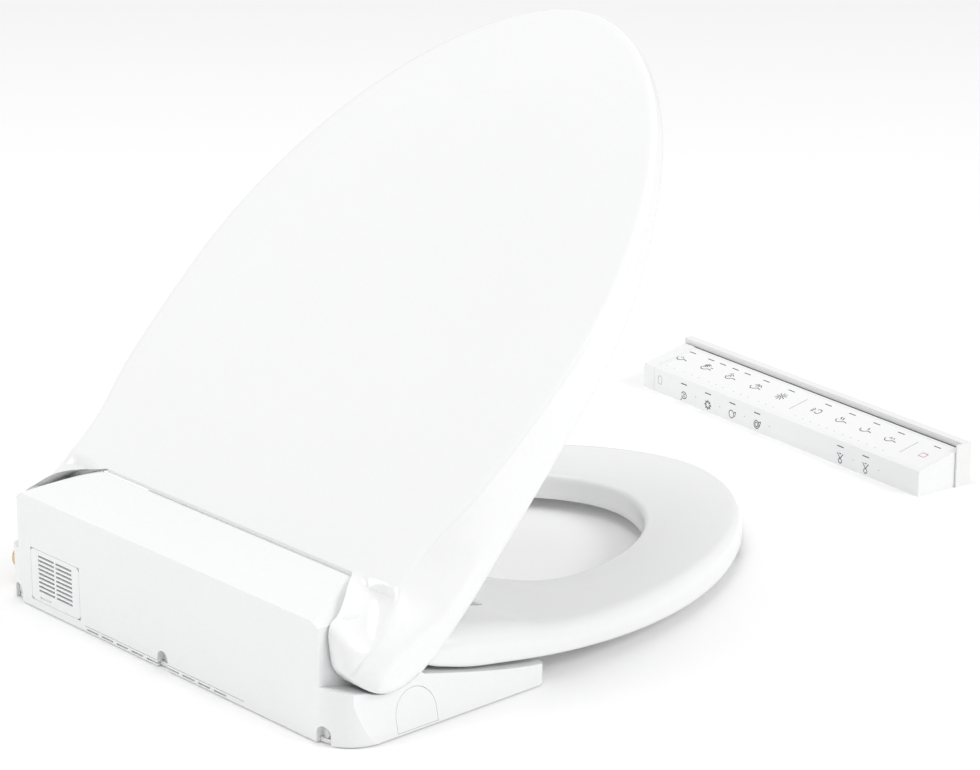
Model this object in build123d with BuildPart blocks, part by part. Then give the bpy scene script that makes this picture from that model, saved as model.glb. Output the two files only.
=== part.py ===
"""Electric bidet seat: base unit, lifting lid, heated seat ring, spray wand, dryer and remote.

Frame: +Z up, -Y towards the front of the bowl, +X to the left of a seated user.
The origin lies on the underside plane, midway between the two mounting bolts.
The lid stands part open, as the product is shown and as its hinge can hold it.
"""
import os
from math import asin, cos, degrees, pi, radians, sin, sqrt

from build123d import *

os.makedirs("parts", exist_ok=True)

# ---------------------------------------------------------------- driving dimensions, mm
base_half = 203.0            # half width of the base at the floor
base_draft_half = 196.5      # half width of the base above the lid's closed skirt edge
rear_y = 56.0                # rear face
rear_corner_r = 32.0
block_front_y = -62.0        # front of the base block, where the bowl opening starts
arm_tip_y = -131.0           # front end of the side arms
arm_inner = 152.0            # inner side of the arms
foot_h = 1.0                 # how far the rubber pads stand out below the base
wall = 3.0                   # moulded housing wall
gap = 0.3                    # clearance between parts that only lie side by side
run = 0.05                   # radial clearance of a pin that turns in its hole

hinge_y, hinge_z = 12.0, 72.0      # lid hinge axis
seat_hinge_y, seat_hinge_z = -30.0, 52.0
lid_open = 42.1              # lid plane above horizontal, as stored
ear_r = 38.0                 # round end of the lid's hinge arms
ear_out = 206.0              # outer side of the lid
ear_in = 177.5               # inner side of the lid's hinge arms
pocket_r = 40.0              # pocket of the base in which the ears turn

block_half = 175.0           # half width of the centre housing, between the ears
ridge_z = 88.0               # top of the rear wall
hump_r = 28.5                # barrel of the centre housing about the lid hinge
shoulder_r = 75.0            # rounded ends of the centre housing's top
shoulder_x = 130.0
nose_half = 138.0            # nose between the seat ring's two arms
nose_front_y = -119.0
nose_back_y = -24.0

lid_len = 474.0              # back edge to tip, in the lid's plane
lid_back = 30.0              # hinge axis behind the back edge, in the lid's plane
lid_top = 10.7               # top surface above the hinge axis
lid_wide_t = 188.0           # widest place, from the back edge
lid_back_half = 187.0        # half width of the top surface at the back edge
lid_power = 1.87             # exponent of the rounded front
lid_wall = 3.0
panel_drop = 7.3             # inner panel below the top surface
panel_t = 2.0
panel_seat = 1.2             # depth of the remote's touch panel
hose_y, hose_z = -14.0, 22.0

ring_half = 200.0            # seat ring, widest half width
ring_rear_half = 192.0
ring_wide_y = -185.0
ring_front_y = -480.0
ring_power = 1.85
ring_arm_inner = 140.0       # inner side of the ring's two hinge arms
ring_rear_y = -18.0
bar_rear_y = -121.5          # rear side of the bar between the opening and the nose
open_half = 120.0            # seat opening
open_mid_y = -235.0
open_front_y = -387.0
open_rear_y = -165.0
ring_wall = 3.0
tray_t = 3.0                 # bottom tray of the ring
tray_gap = 0.8

bolt_spacing = 140.0
bolt_hole_r = 4.25           # clearance hole for an M8 bolt
plate_t = 5.0
plate_half_x, plate_half_y = 95.0, 27.0

cover_x0, cover_x1 = 99.0, 159.0   # filter cover on the rear face
cover_z0, cover_z1 = 7.5, 48.0
cover_t = 2.5

nozzle_tilt = 24.0           # spray wand below horizontal
nozzle_exit_z = 12.6         # wand axis at the nose front
wand_r = 7.0
wand_len = 88.0

button_w, button_h = 36.0, 28.0
button_y = -9.0

remote_len, remote_depth = 352.0, 46.0
remote_front_h, remote_back_h = 21.6, 31.6
remote_back_lift = 4.0
remote_wall = 2.0
remote_x, remote_y = -126.0, -611.0
remote_turn = -5.7
cap_len = 14.0
dock_t, dock_h = 8.0, 36.0
dock_gap = 1.5

arm_tip_r = 12.0             # rounded ends of the arms
arm_line = [(-20.0, 37.0), (-58.0, 27.5), (-86.0, 21.5), (arm_tip_y, 14.5)]  # top of the arms
rim_rear_z = 42.0            # side rim at the rear face
draft_z = 31.0
crest_angle = 112.0
ridge_r = 9.0
crest_top = 99.0
nose_back_z = 63.0
lug_back_y = -6.5
ridge_corner = (-block_half, rear_y, ridge_z)
frame_y = rear_y - 8.0       # inner face of the frame round the filter bay
recess_depth, recess_r = 6.0, 6.0
screw_z = 8.0
screw_shank_r = 2.0
slot_x = (-66.0, -48.0, -30.0, -12.0, 12.0, 30.0, 48.0, 66.0, 84.0)
slot_half, slot_z = 7.0, 2.0
seam_half, seam_z = 93.0, 4.8
lid_pin_r, ring_pin_r = 8.0, 4.5
lid_pin_x1 = 185.5           # outer ends of the lid pins, inside the hinge arms
inlet_r, inlet_y, inlet_z = 10.48, 24.0, 17.0   # G 1/2 thread
gland_r, gland_y, gland_z = 6.0, -14.0, 14.0
drive_x0, drive_x1, pin_x0 = 80.0, 134.0, 112.0
cable_r = 3.6                # opening for the mains lead
button_z = 2.6
button_inner_x = -191.0
button_stem_z = 13.0
pan_t = 3.0
hat_top = 12.5
drive_r, damper_r, ring_damper_r = 20.0, 16.0, 7.0
drive_cradle_z = hinge_z - drive_r - gap
damper_cradle_z = hinge_z - damper_r - gap
ring_cradle_z = seat_hinge_z - ring_damper_r - gap
louvre_rows, louvre_len = 9, 20.0
filter_x0, filter_x1 = 103.5, 154.5
filter_y0 = 12.0
filter_z0, filter_z1 = 11.5, 43.5
fan_r, fan_y0, fan_y1 = 19.0, -2.5, 10.0

nose_slope = (63.0 - 49.0) / 81.0
nose_brow_y, nose_brow_z = -107.0, 49.0
nose_chin_z = 38.0
nose_floor_z = 3.0
nose_under = [(block_front_y + 1.0, 27.6), (-24.3, 36.9)]   # rides over the base block
nose_wall = 2.5
guide_r = 9.5
pinion_module, pinion_teeth = 1.0, 12
pinion_s = 26.0              # pinion, from the wand's exit
rack_end = 86.0
rack_teeth = 21
rack_x = 8.25                # pitch line of the rack, beside the wand's axis
pinion_r = 6.0
rack_first = pinion_s - 2 * pi * pinion_module
duct_x0, duct_x1 = -50.0, -22.0
flap_z0, flap_z1, flap_t = 9.5, 23.5, 2.0
dryer_x, dryer_y, dryer_r = -64.0, -89.5, 24.0
dryer_z0, dryer_z1 = 5.8, 25.5

lug_r = 11.0
ear_room_r = 44.0            # the lid's ears turn inside this, past the ring's arms
bar_z = 22.0                 # underside of the bar behind the opening
bar_half = 100.0
ring_under = [(ring_rear_y, 47.0), (-25.0, 41.0), (-58.0, 30.3), (-86.0, 25.2), (-143.0, 18.0),
              (-200.0, 14.0), (-300.0, 10.0), (ring_front_y, 9.0)]
ring_over = [(ring_rear_y, 60.0), (-40.0, 60.0), (-60.0, 58.0), (-107.0, 48.0), (-148.0, 38.0),
             (-220.0, 34.0), (-350.0, 32.0), (ring_front_y, 30.0)]

bumper_spots = [(-158.0, -200.0), (158.0, -200.0), (-110.0, -405.0), (110.0, -405.0)]
skirt_edge = [(-lid_back, -38.5), (-70.0, -37.5), (-148.0, -31.0), (-227.0, -21.0),
              (-319.0, -11.5), (-363.0, -5.0), (-430.0, -1.3), (-lid_back - lid_len, 0.2)]

# ---------------------------------------------------------------- shared helpers
def save(part, name):
    """Label a finished piece and write it as its own file."""
    part.label = name
    export_step(part, f"parts/{name}.step")


def round_front(half, length, power, steps=3):
    """Points of a rounded front: from the widest place on +X, round the tip, to -X."""
    points = []
    for i in range(-steps, steps + 1):
        a = radians(90.0 * i / steps)
        across = half * abs(sin(a)) ** (2 / power)
        points.append((-across if i > 0 else across, length * max(cos(a), 0.0) ** (2 / power)))
    return points


def on_circle(cy, cz, r, angle):
    """Point of a circle in a side view, its angle counted from +Y towards +Z."""
    return (cy + r * cos(radians(angle)), cz + r * sin(radians(angle)))


def bar_x(x0, x1, y, z, r):
    """Round bar along X between two ends."""
    with BuildPart() as bar:
        with BuildSketch(Plane.YZ.offset(x0)):
            with Locations((y, z)):
                Circle(r)
        extrude(amount=x1 - x0)
    return bar.part


def post(x, y, z0, z1, r):
    """Round upright post."""
    with BuildPart() as column:
        with BuildSketch(Plane.XY.offset(z0)):
            with Locations((x, y)):
                Circle(r)
        extrude(amount=z1 - z0)
    return column.part


def block(x0, x1, y0, y1, z0, z1, r=0.0):
    """Block between two corners, its upright edges rounded by r."""
    with BuildPart() as body:
        with BuildSketch(Plane.XY.offset(z0)):
            with Locations(((x0 + x1) / 2, (y0 + y1) / 2)):
                if r:
                    RectangleRounded(x1 - x0, y1 - y0, r)
                else:
                    Rectangle(x1 - x0, y1 - y0)
        extrude(amount=z1 - z0)
    return body.part


# ---------------------------------------------------------------- housing shapes
def base_plan(inset, z0, z1):
    """Outline of the base from above, with two arms to the front, as a prism."""
    with BuildPart() as prism:
        with BuildSketch(Plane.XY.offset(z0)) as plan:
            with Locations((0, (rear_y + arm_tip_y) / 2)):
                Rectangle(2 * base_half, rear_y - arm_tip_y)
            fillet(plan.vertices().group_by(Axis.Y)[-1], rear_corner_r)
            fillet(plan.vertices().group_by(Axis.Y)[0], arm_tip_r)
            with Locations((0, arm_tip_y)):
                Rectangle(2 * arm_inner, 2 * (block_front_y - arm_tip_y), mode=Mode.SUBTRACT)
            if inset:
                offset(amount=-inset)
        extrude(amount=z1 - z0)
    return prism.part


def low_body(inset):
    """Sides, arms and base block: the side view across the whole width."""
    with BuildPart() as low:
        with BuildSketch(Plane.YZ.offset(-base_half)):
            with BuildLine():
                rim_start = on_circle(hinge_y, hinge_z, pocket_r + inset, -62)
                rim_low = on_circle(hinge_y, hinge_z, pocket_r + inset, -90)
                rim_end = on_circle(hinge_y, hinge_z, pocket_r + inset, -130)
                arm_top = [(y, z - inset) for y, z in arm_line]
                Line((rear_y, foot_h), (rear_y, rim_rear_z - inset))
                Line((rear_y, rim_rear_z - inset), rim_start)
                ThreePointArc(rim_start, rim_low, rim_end)
                Line(rim_end, arm_top[0])
                Spline(*arm_top)
                Line(arm_top[-1], (arm_tip_y, foot_h))
                Line((arm_tip_y, foot_h), (rear_y, foot_h))
            make_face()
        extrude(amount=2 * base_half)
        # upper edge drawn in, so that the closed lid's skirt passes outside it
        with BuildSketch(Plane.XZ.offset(-rear_y)):
            with BuildLine():
                floor_x, upper_x = base_half - inset, base_draft_half - inset
                Polyline(
                    (-floor_x, 0), (floor_x, 0), (upper_x, draft_z), (upper_x, ridge_z),
                    (-upper_x, ridge_z), (-upper_x, draft_z), close=True,
                )
            make_face()
        extrude(amount=rear_y - arm_tip_y, mode=Mode.INTERSECT)
        add(base_plan(inset, 0, ridge_z), mode=Mode.INTERSECT)
    return low.part


def centre_body(inset):
    """Centre housing between the ears: rear wall, ridge, sloped top and hinge barrel."""
    half = block_half - inset
    with BuildPart() as centre:
        with BuildSketch(Plane.YZ.offset(-half)) as profile:
            with BuildLine():
                crest = on_circle(hinge_y, hinge_z, hump_r, crest_angle)
                brow = on_circle(hinge_y, hinge_z, hump_r, 150)
                chin = on_circle(hinge_y, hinge_z, hump_r, 186)
                Line((rear_y, foot_h), (rear_y, ridge_z))
                Line((rear_y, ridge_z), crest)
                ThreePointArc(crest, brow, chin)
                Line(chin, (nose_back_y, nose_back_z))
                Line((nose_back_y, nose_back_z), (nose_back_y, foot_h))
                Line((nose_back_y, foot_h), (rear_y, foot_h))
            make_face()
            fillet(profile.vertices().sort_by_distance(ridge_corner)[0], ridge_r)
            if inset:
                offset(amount=-inset)
        extrude(amount=2 * half)
        # rounded shoulders at both ends of the top
        with BuildSketch(Plane.XZ.offset(-rear_y)):
            with BuildLine():
                top = crest_top - inset
                reach = half - shoulder_x
                drop = shoulder_r - sqrt(shoulder_r**2 - reach**2)
                middle = radians(degrees(asin(reach / shoulder_r)) / 2)
                on_arc = (
                    shoulder_x + shoulder_r * sin(middle),
                    top - shoulder_r * (1 - cos(middle)),
                )
                Line((-half, 0), (half, 0))
                Line((half, 0), (half, top - drop))
                ThreePointArc((half, top - drop), on_arc, (shoulder_x, top))
                Line((shoulder_x, top), (-shoulder_x, top))
                ThreePointArc((-shoulder_x, top), (-on_arc[0], on_arc[1]), (-half, top - drop))
                Line((-half, top - drop), (-half, 0))
            make_face()
        extrude(amount=rear_y - nose_back_y, mode=Mode.INTERSECT)
        add(base_plan(inset, 0, crest_top), mode=Mode.INTERSECT)
        # room for the seat ring's two hinge lugs, beside the nose
        for side in (-1, 1):
            lug_room = (nose_half - inset + block_half) / 2
            with Locations((side * lug_room, nose_back_y, crest_top / 2)):
                Box(
                    block_half - nose_half + inset, 2 * (lug_back_y - nose_back_y + inset),
                    crest_top, mode=Mode.SUBTRACT,
                )
    return centre.part


def arch_prism(x0, x1, width, height, y, z):
    """Arch-shaped prism along X, standing on z."""
    with BuildPart() as arch:
        with BuildSketch(Plane.YZ.offset(x0)):
            with BuildLine():
                shoulder = height - width / 2
                Line((y - width / 2, z), (y + width / 2, z))
                Line((y + width / 2, z), (y + width / 2, z + shoulder))
                ThreePointArc(
                    (y + width / 2, z + shoulder), (y, z + height), (y - width / 2, z + shoulder)
                )
                Line((y - width / 2, z + shoulder), (y - width / 2, z))
            make_face()
        extrude(amount=x1 - x0)
    return arch.part


outer_low = low_body(0)
outer_centre = centre_body(0)
inner_low = low_body(wall)
inner_centre = centre_body(wall)
screw_x = (-178.0, 0.0, 178.0)

with BuildPart() as main_housing:
    add(outer_low)
    add(outer_centre)
    add(inner_low, mode=Mode.SUBTRACT)
    add(inner_centre, mode=Mode.SUBTRACT)
    add(base_plan(wall, 0, foot_h + wall + 2), mode=Mode.SUBTRACT)
    # way through to the nose
    add(
        block(-nose_half + wall, nose_half - wall, block_front_y + wall, nose_back_y + wall + 1,
              foot_h + wall, nose_back_z - wall),
        mode=Mode.SUBTRACT,
    )
    # frame round the filter bay, and bosses for the rear screws
    add(block(cover_x0 - 4, cover_x1 + 4, frame_y, rear_y - 1, cover_z0 - 1.5, cover_z1 + 4))
    for x in screw_x:
        boss = block(x - 8, x + 8, rear_y - 16, rear_y - 1, foot_h + wall + gap, 18)
        add(boss.intersect(outer_low))
    add(
        block(cover_x0 - gap, cover_x1 + gap, rear_y - cover_t - gap, rear_y + 5,
              cover_z0 - gap, cover_z1 + gap),
        mode=Mode.SUBTRACT,
    )
    add(block(filter_x0 - 1, filter_x1 + 1, frame_y - 5, rear_y + 5, filter_z0 - 1, filter_z1 + 1),
        mode=Mode.SUBTRACT)
    # arched screw recesses and their holes
    for x in screw_x:
        with BuildSketch(Plane.XZ.offset(-rear_y + recess_depth)):
            with Locations((x, screw_z)):
                Circle(recess_r)
            with Locations((x, screw_z - 5)):
                Rectangle(2 * recess_r, 10)
        extrude(amount=-recess_depth - 5, mode=Mode.SUBTRACT)
        with BuildSketch(Plane.XZ.offset(-rear_y + recess_depth - 1)):
            with Locations((x, screw_z)):
                Circle(screw_shank_r + 0.2)
        extrude(amount=12, mode=Mode.SUBTRACT)
    # air slots along the lower rear edge, and the seam above them
    for x in slot_x:
        add(block(x - slot_half, x + slot_half, rear_y - wall - 1, rear_y + 1, slot_z, slot_z + 1.4),
            mode=Mode.SUBTRACT)
    add(block(-seam_half, seam_half, rear_y - 0.8, rear_y + 1, seam_z, seam_z + 0.7),
        mode=Mode.SUBTRACT)
    # lid hinge pins, ring hinge pins, water inlet, power entry
    for side in (-1, 1):
        x0, x1 = sorted((side * (block_half - wall - 2), side * (block_half + 2)))
        add(bar_x(x0, x1, hinge_y, hinge_z, lid_pin_r + gap), mode=Mode.SUBTRACT)
    add(bar_x(base_half - 12, base_half + 2, inlet_y, inlet_z, inlet_r + 1 + gap),
        mode=Mode.SUBTRACT)
    add(bar_x(base_half - 8, base_half + 2, gland_y, gland_z, gland_r + gap), mode=Mode.SUBTRACT)
    # release button opening
    add(
        arch_prism(-base_half - 1, -base_half + 13, button_w + 2 * gap, button_h + gap,
                   button_y, button_z - gap),
        mode=Mode.SUBTRACT,
    )
save(main_housing.part, "main_housing")

with BuildPart() as release_button:
    add(arch_prism(-base_half - 1, -base_half + 9, button_w, button_h - gap, button_y, button_z))
    add(outer_low, mode=Mode.INTERSECT)
    add(bar_x(-base_half + 8, button_inner_x, button_y, button_stem_z, 5))
save(release_button.part, "release_button")

with BuildPart() as release_latch:
    add(block(button_inner_x, button_inner_x + 4, button_y - 12, button_y + 12, 6, 20))
    add(block(button_inner_x + 4, button_inner_x + 22, button_y - 5, button_y + 5, 6, 9))
save(release_latch.part, "release_latch")

# ---------------------------------------------------------------- base pan and feet
pan_top = foot_h + pan_t
with BuildPart() as base_pan:
    add(base_plan(wall + gap, foot_h, pan_top))
    # raised cap over the mounting plate
    rim = gap + 2.5
    add(block(-plate_half_x - rim, plate_half_x + rim, -plate_half_y - rim, plate_half_y + rim,
              foot_h, hat_top))
    add(
        block(-plate_half_x - gap, plate_half_x + gap, -plate_half_y - gap, plate_half_y + gap,
              0, hat_top - 2.5),
        mode=Mode.SUBTRACT,
    )
    # screw posts behind the rear recesses
    for x in screw_x:
        add(block(x - 6, x + 6, rear_y - 26, rear_y - 16 - gap, foot_h, 14))
        with BuildSketch(Plane.XZ.offset(-rear_y + 16)):
            with Locations((x, screw_z)):
                Circle(screw_shank_r - 0.1)
        extrude(amount=10, mode=Mode.SUBTRACT)
    # cradles of the hinge drives and ring dampers
    for x0, top_z in ((-100.5, drive_cradle_z), (96, damper_cradle_z)):
        add(block(x0, x0 + 4.5, hinge_y - 7, hinge_y + 7, foot_h, top_z))
    for side in (-1, 1):
        x0, x1 = sorted((side * 105, side * 125))
        add(block(x0, x1, seat_hinge_y - 5, seat_hinge_y + 5, foot_h, ring_cradle_z))
    # room for the release button
    add(block(-base_half, button_inner_x + 1, button_y - button_w / 2 - gap,
              button_y + button_w / 2 + gap, 0, pan_top), mode=Mode.SUBTRACT)
    # stop behind the release latch
    add(block(button_inner_x + 26, button_inner_x + 30, button_y - 8, button_y + 8, foot_h, 14))
save(base_pan.part, "base_pan")

foot_spots = [(x, y) for x in (-180.0, 180.0) for y in (-100.0, 30.0)]
with BuildPart() as base_pads:
    with BuildSketch(Plane.XY):
        with Locations(*foot_spots):
            RectangleRounded(22, 34, 8)
    extrude(amount=foot_h)
save(base_pads.part, "base_pads")

with BuildPart() as housing_screws:
    for x in screw_x:
        with BuildSketch(Plane.XZ.offset(-rear_y + recess_depth - 2.2)):
            with Locations((x, screw_z)):
                Circle(3.2)
        extrude(amount=2.2)
        with BuildSketch(Plane.XZ.offset(-rear_y + recess_depth)):
            with Locations((x, screw_z)):
                Circle(screw_shank_r - 0.15)
        extrude(amount=14)
save(housing_screws.part, "housing_screws")

# ---------------------------------------------------------------- mounting plate
with BuildPart() as mounting_plate:
    add(block(-plate_half_x, plate_half_x, -plate_half_y, plate_half_y, foot_h,
              foot_h + plate_t, 6))
    with BuildSketch(Plane.XY.offset(foot_h)):
        with Locations((-bolt_spacing / 2, 0), (bolt_spacing / 2, 0)):
            SlotOverall(42, 18, rotation=90)
    extrude(amount=plate_t, mode=Mode.SUBTRACT)
save(mounting_plate.part, "mounting_plate")

with BuildPart() as bolt_adjusters:
    for x in (-bolt_spacing / 2, bolt_spacing / 2):
        add(block(x - 9 + gap, x + 9 - gap, -11, 11, 0, foot_h + plate_t, 2))
        add(block(x - 13, x + 13, -15, 15, foot_h + plate_t, foot_h + plate_t + 2.5, 3))
        add(post(x, 0, 0, foot_h + plate_t + 2.5, bolt_hole_r), mode=Mode.SUBTRACT)
save(bolt_adjusters.part, "bolt_adjusters")

# ---------------------------------------------------------------- filter and deodoriser
louvre_pitch = (cover_z1 - cover_z0 - 10) / louvre_rows
with BuildPart() as filter_cover:
    with BuildSketch(Plane.XZ.offset(-rear_y)) as face:
        with Locations(((cover_x0 + cover_x1) / 2, (cover_z0 + cover_z1) / 2)):
            Rectangle(cover_x1 - cover_x0, cover_z1 - cover_z0)
        fillet(face.vertices().group_by(Axis.Z)[-1], 4)
    extrude(amount=cover_t)
    with BuildSketch(Plane.XZ.offset(-rear_y)):
        for column in (-1, 1):
            for row in range(louvre_rows):
                x = (cover_x0 + cover_x1) / 2 + column * (louvre_len / 2 + 1)
                z = cover_z0 + 7 + (row + 0.5) * louvre_pitch
                with Locations((x, z)):
                    Rectangle(louvre_len, louvre_pitch * 0.5)
    extrude(amount=cover_t, mode=Mode.SUBTRACT)
    # finger notch under the louvres
    add(block(cover_x1 - 24, cover_x1 - 10, rear_y - 1, rear_y + 1, cover_z0 + 2.5, cover_z0 + 4),
        mode=Mode.SUBTRACT)
save(filter_cover.part, "filter_cover")

with BuildPart() as deodorizer_filter:
    add(block(filter_x0, filter_x1, filter_y0, rear_y - cover_t - gap, filter_z0, filter_z1, 2))
    with BuildSketch(Plane.XZ.offset(-(rear_y - cover_t - gap))):
        with Locations(((filter_x0 + filter_x1) / 2, (filter_z0 + filter_z1) / 2)):
            with GridLocations(9, 9, 5, 3):
                Rectangle(7, 7)
    extrude(amount=3, mode=Mode.SUBTRACT)
save(deodorizer_filter.part, "deodorizer_filter")

fan_x, fan_z = (filter_x0 + filter_x1) / 2, 29.0
with BuildPart() as deodorizer_case:
    add(block(filter_x0 - 2.5, filter_x1 + 2.5, fan_y0, fan_y1, pan_top + gap, fan_z + 25))
    add(block(filter_x0 - 2.5, filter_x1 + 2.5, fan_y1, frame_y - gap, pan_top + gap,
              filter_z0 - gap))
    with BuildSketch(Plane.XZ.offset(-fan_y1)):
        with Locations((fan_x, fan_z)):
            Circle(fan_r + 1)
    extrude(amount=fan_y1 - fan_y0 - 2, mode=Mode.SUBTRACT)
    with BuildSketch(Plane.XZ.offset(-fan_y0 - 2)):
        with Locations((fan_x, fan_z)):
            with PolarLocations(13, 6):
                Circle(4)
    extrude(amount=2, mode=Mode.SUBTRACT)
    with BuildSketch(Plane.XZ.offset(-fan_y0 - 2)):
        with Locations((fan_x, fan_z)):
            Circle(2)
    extrude(amount=-8)
save(deodorizer_case.part, "deodorizer_case")


def rotor(plane, r, height, hub_r, bore_r, blades):
    """Fan wheel: a bored hub, a back disc and straight blades, built up from a plane."""
    with BuildPart() as wheel:
        with BuildSketch(plane):
            Circle(r)
        extrude(amount=1.5)
        with BuildSketch(plane):
            Circle(hub_r)
        extrude(amount=height)
        with BuildSketch(plane):
            with PolarLocations((r + hub_r) / 2, blades):
                Rectangle(r - hub_r - 0.5, 1.2)
        extrude(amount=height)
        with BuildSketch(plane):
            Circle(bore_r)
        extrude(amount=height, mode=Mode.SUBTRACT)
    return wheel.part


fan_plane = Plane(origin=(fan_x, fan_y0 + 2 + 1, fan_z), x_dir=(1, 0, 0), z_dir=(0, 1, 0))
deodorizer_fan = rotor(fan_plane, fan_r, 7, 5, 2 + run, 9)
save(deodorizer_fan, "deodorizer_fan")

# ---------------------------------------------------------------- nose over the spray wand
def nose_body(inset):
    """Sloped nose in front of the centre housing, between the ring's arms."""
    half = nose_half - inset
    with BuildPart() as nose:
        with BuildSketch(Plane.YZ.offset(-half)) as side:
            with BuildLine():
                back_y = nose_back_y - gap + (5 if inset else 0)
                top_z = nose_back_z - inset
                Line((back_y, top_z + (5 * nose_slope if inset else 0)),
                     (nose_brow_y + inset, nose_brow_z - inset))
                Line((nose_brow_y + inset, nose_brow_z - inset),
                     (nose_front_y + inset, nose_chin_z - inset))
                Line((nose_front_y + inset, nose_chin_z - inset),
                     (nose_front_y + inset, nose_floor_z + inset))
                Line((nose_front_y + inset, nose_floor_z + inset),
                     (block_front_y - gap + inset, nose_floor_z + inset))
                Line((block_front_y - gap + inset, nose_floor_z + inset),
                     (block_front_y - gap + inset, nose_under[0][1] - inset))
                Line((block_front_y - gap + inset, nose_under[0][1] - inset),
                     (nose_under[0][0], nose_under[0][1] - inset))
                Line((nose_under[0][0], nose_under[0][1] - inset),
                     (nose_under[1][0] + (5 if inset else 0), nose_under[1][1] - inset))
                Line((nose_under[1][0] + (5 if inset else 0), nose_under[1][1] - inset),
                     (back_y, top_z + (5 * nose_slope if inset else 0)))
            make_face()
        extrude(amount=2 * half)
    return nose.part


outer_nose = nose_body(0)
wand_axis = Plane(
    origin=(0, nose_front_y, nozzle_exit_z),
    x_dir=(1, 0, 0),
    z_dir=(0, cos(radians(nozzle_tilt)), sin(radians(nozzle_tilt))),
)


def along_wand(r, start, stop):
    """Round bar on the wand's axis, from one distance behind the exit to another."""
    with BuildPart() as rod:
        with BuildSketch(wand_axis.offset(start)):
            Circle(r)
        extrude(amount=stop - start)
    return rod.part


with BuildPart() as nose_cover:
    add(outer_nose)
    edges = nose_cover.edges().filter_by(Axis.X).filter_by(
        lambda e: e.center().Y < nose_brow_y + 1 and e.center().Z > nozzle_exit_z
    )
    fillet(edges, 8)
    add(nose_body(nose_wall), mode=Mode.SUBTRACT)
    add(along_wand(wand_r + 1.2, -8, 8), mode=Mode.SUBTRACT)
    with BuildSketch(wand_axis.offset(-8)):
        with Locations((rack_x - 2, 0)):
            Rectangle(8, 6)
    extrude(amount=16, mode=Mode.SUBTRACT)
    # warm air outlet
    add(block(duct_x0 - gap, duct_x1 + gap, nose_front_y - 5, nose_front_y + nose_wall + 1,
              flap_z0 - gap, flap_z1 + 1), mode=Mode.SUBTRACT)
    # ring hinge pins
    add(bar_x(-nose_half - 1, nose_half + 1, seat_hinge_y, seat_hinge_z, ring_pin_r + gap),
        mode=Mode.SUBTRACT)
save(nose_cover.part, "nose_cover")

# ---------------------------------------------------------------- spray wand
with BuildPart() as nozzle_wand:
    add(along_wand(wand_r, 16, wand_len))
    add(along_wand(wand_r - 1.4, 2, 16))
    add(along_wand(1.6, 6, wand_len), mode=Mode.SUBTRACT)
save(nozzle_wand.part, "nozzle_wand")

with BuildPart() as nozzle_tip:
    add(along_wand(wand_r, 0.5, 16 - 0.1))
    add(along_wand(wand_r - 1.4 + 0.02, 2, 17), mode=Mode.SUBTRACT)
    for s_hole in (5, 9):
        with BuildSketch(Plane(
            origin=(0, nose_front_y + s_hole * cos(radians(nozzle_tilt)),
                    nozzle_exit_z + s_hole * sin(radians(nozzle_tilt))),
            x_dir=(1, 0, 0), z_dir=(0, -sin(radians(nozzle_tilt)), cos(radians(nozzle_tilt))),
        )):
            with Locations((0, 0), (2, 0), (-2, 0)):
                Circle(0.6)
        extrude(amount=10, mode=Mode.SUBTRACT)
save(nozzle_tip.part, "nozzle_tip")

wand_side = Plane(
    origin=(0, nose_front_y, nozzle_exit_z),
    x_dir=(1, 0, 0),
    z_dir=(0, -sin(radians(nozzle_tilt)), cos(radians(nozzle_tilt))),
)
tooth = pinion_module * 1.25
with BuildPart() as nozzle_rack:
    with BuildSketch(wand_side.offset(-2)):
        with Locations((rack_x - tooth - 0.6, (18 + rack_end) / 2)):
            Rectangle(1.2, rack_end - 18)
        with BuildLine():
            half_tip, half_root = 0.30, 1.10
            left, right = rack_x - tooth, rack_x + pinion_module
            Polyline((left - 0.3, -half_root), (left, -half_root), (right, -half_tip),
                     (right, half_tip), (left, half_root), (left - 0.3, half_root), close=True)
        tooth_face = make_face(mode=Mode.PRIVATE)
        for i in range(rack_teeth):
            with Locations((0, rack_first + i * pi * pinion_module)):
                add(tooth_face)
    extrude(amount=4)
    add(along_wand(wand_r + 0.02, 0, wand_len + 1), mode=Mode.SUBTRACT)
save(nozzle_rack.part, "nozzle_rack")

pinion_plane = Plane(
    origin=(rack_x + pinion_r, nose_front_y + pinion_s * cos(radians(nozzle_tilt)),
            nozzle_exit_z + pinion_s * sin(radians(nozzle_tilt))),
    x_dir=(1, 0, 0),
    z_dir=(0, -sin(radians(nozzle_tilt)), cos(radians(nozzle_tilt))),
)
with BuildPart() as nozzle_pinion:
    with BuildSketch(pinion_plane.offset(-2.5)):
        Circle(pinion_r - tooth)
        with BuildLine():
            root, tip = pinion_r - tooth - 0.5, pinion_r + 0.9
            Polyline((root, -1.05), (tip, -0.28), (tip, 0.28), (root, 1.05), close=True)
        pinion_tooth = make_face(mode=Mode.PRIVATE)
        with PolarLocations(0, pinion_teeth, start_angle=180.0 / pinion_teeth):
            add(pinion_tooth)
        Circle(1.5 + run, mode=Mode.SUBTRACT)
    extrude(amount=5)
save(nozzle_pinion.part, "nozzle_pinion")

with BuildPart() as nozzle_motor:
    with BuildSketch(pinion_plane.offset(2.5 + gap)):
        Circle(7.5)
    extrude(amount=14)
    with BuildSketch(pinion_plane.offset(-3)):
        Circle(1.5)
    extrude(amount=6)
save(nozzle_motor.part, "nozzle_motor")

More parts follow.
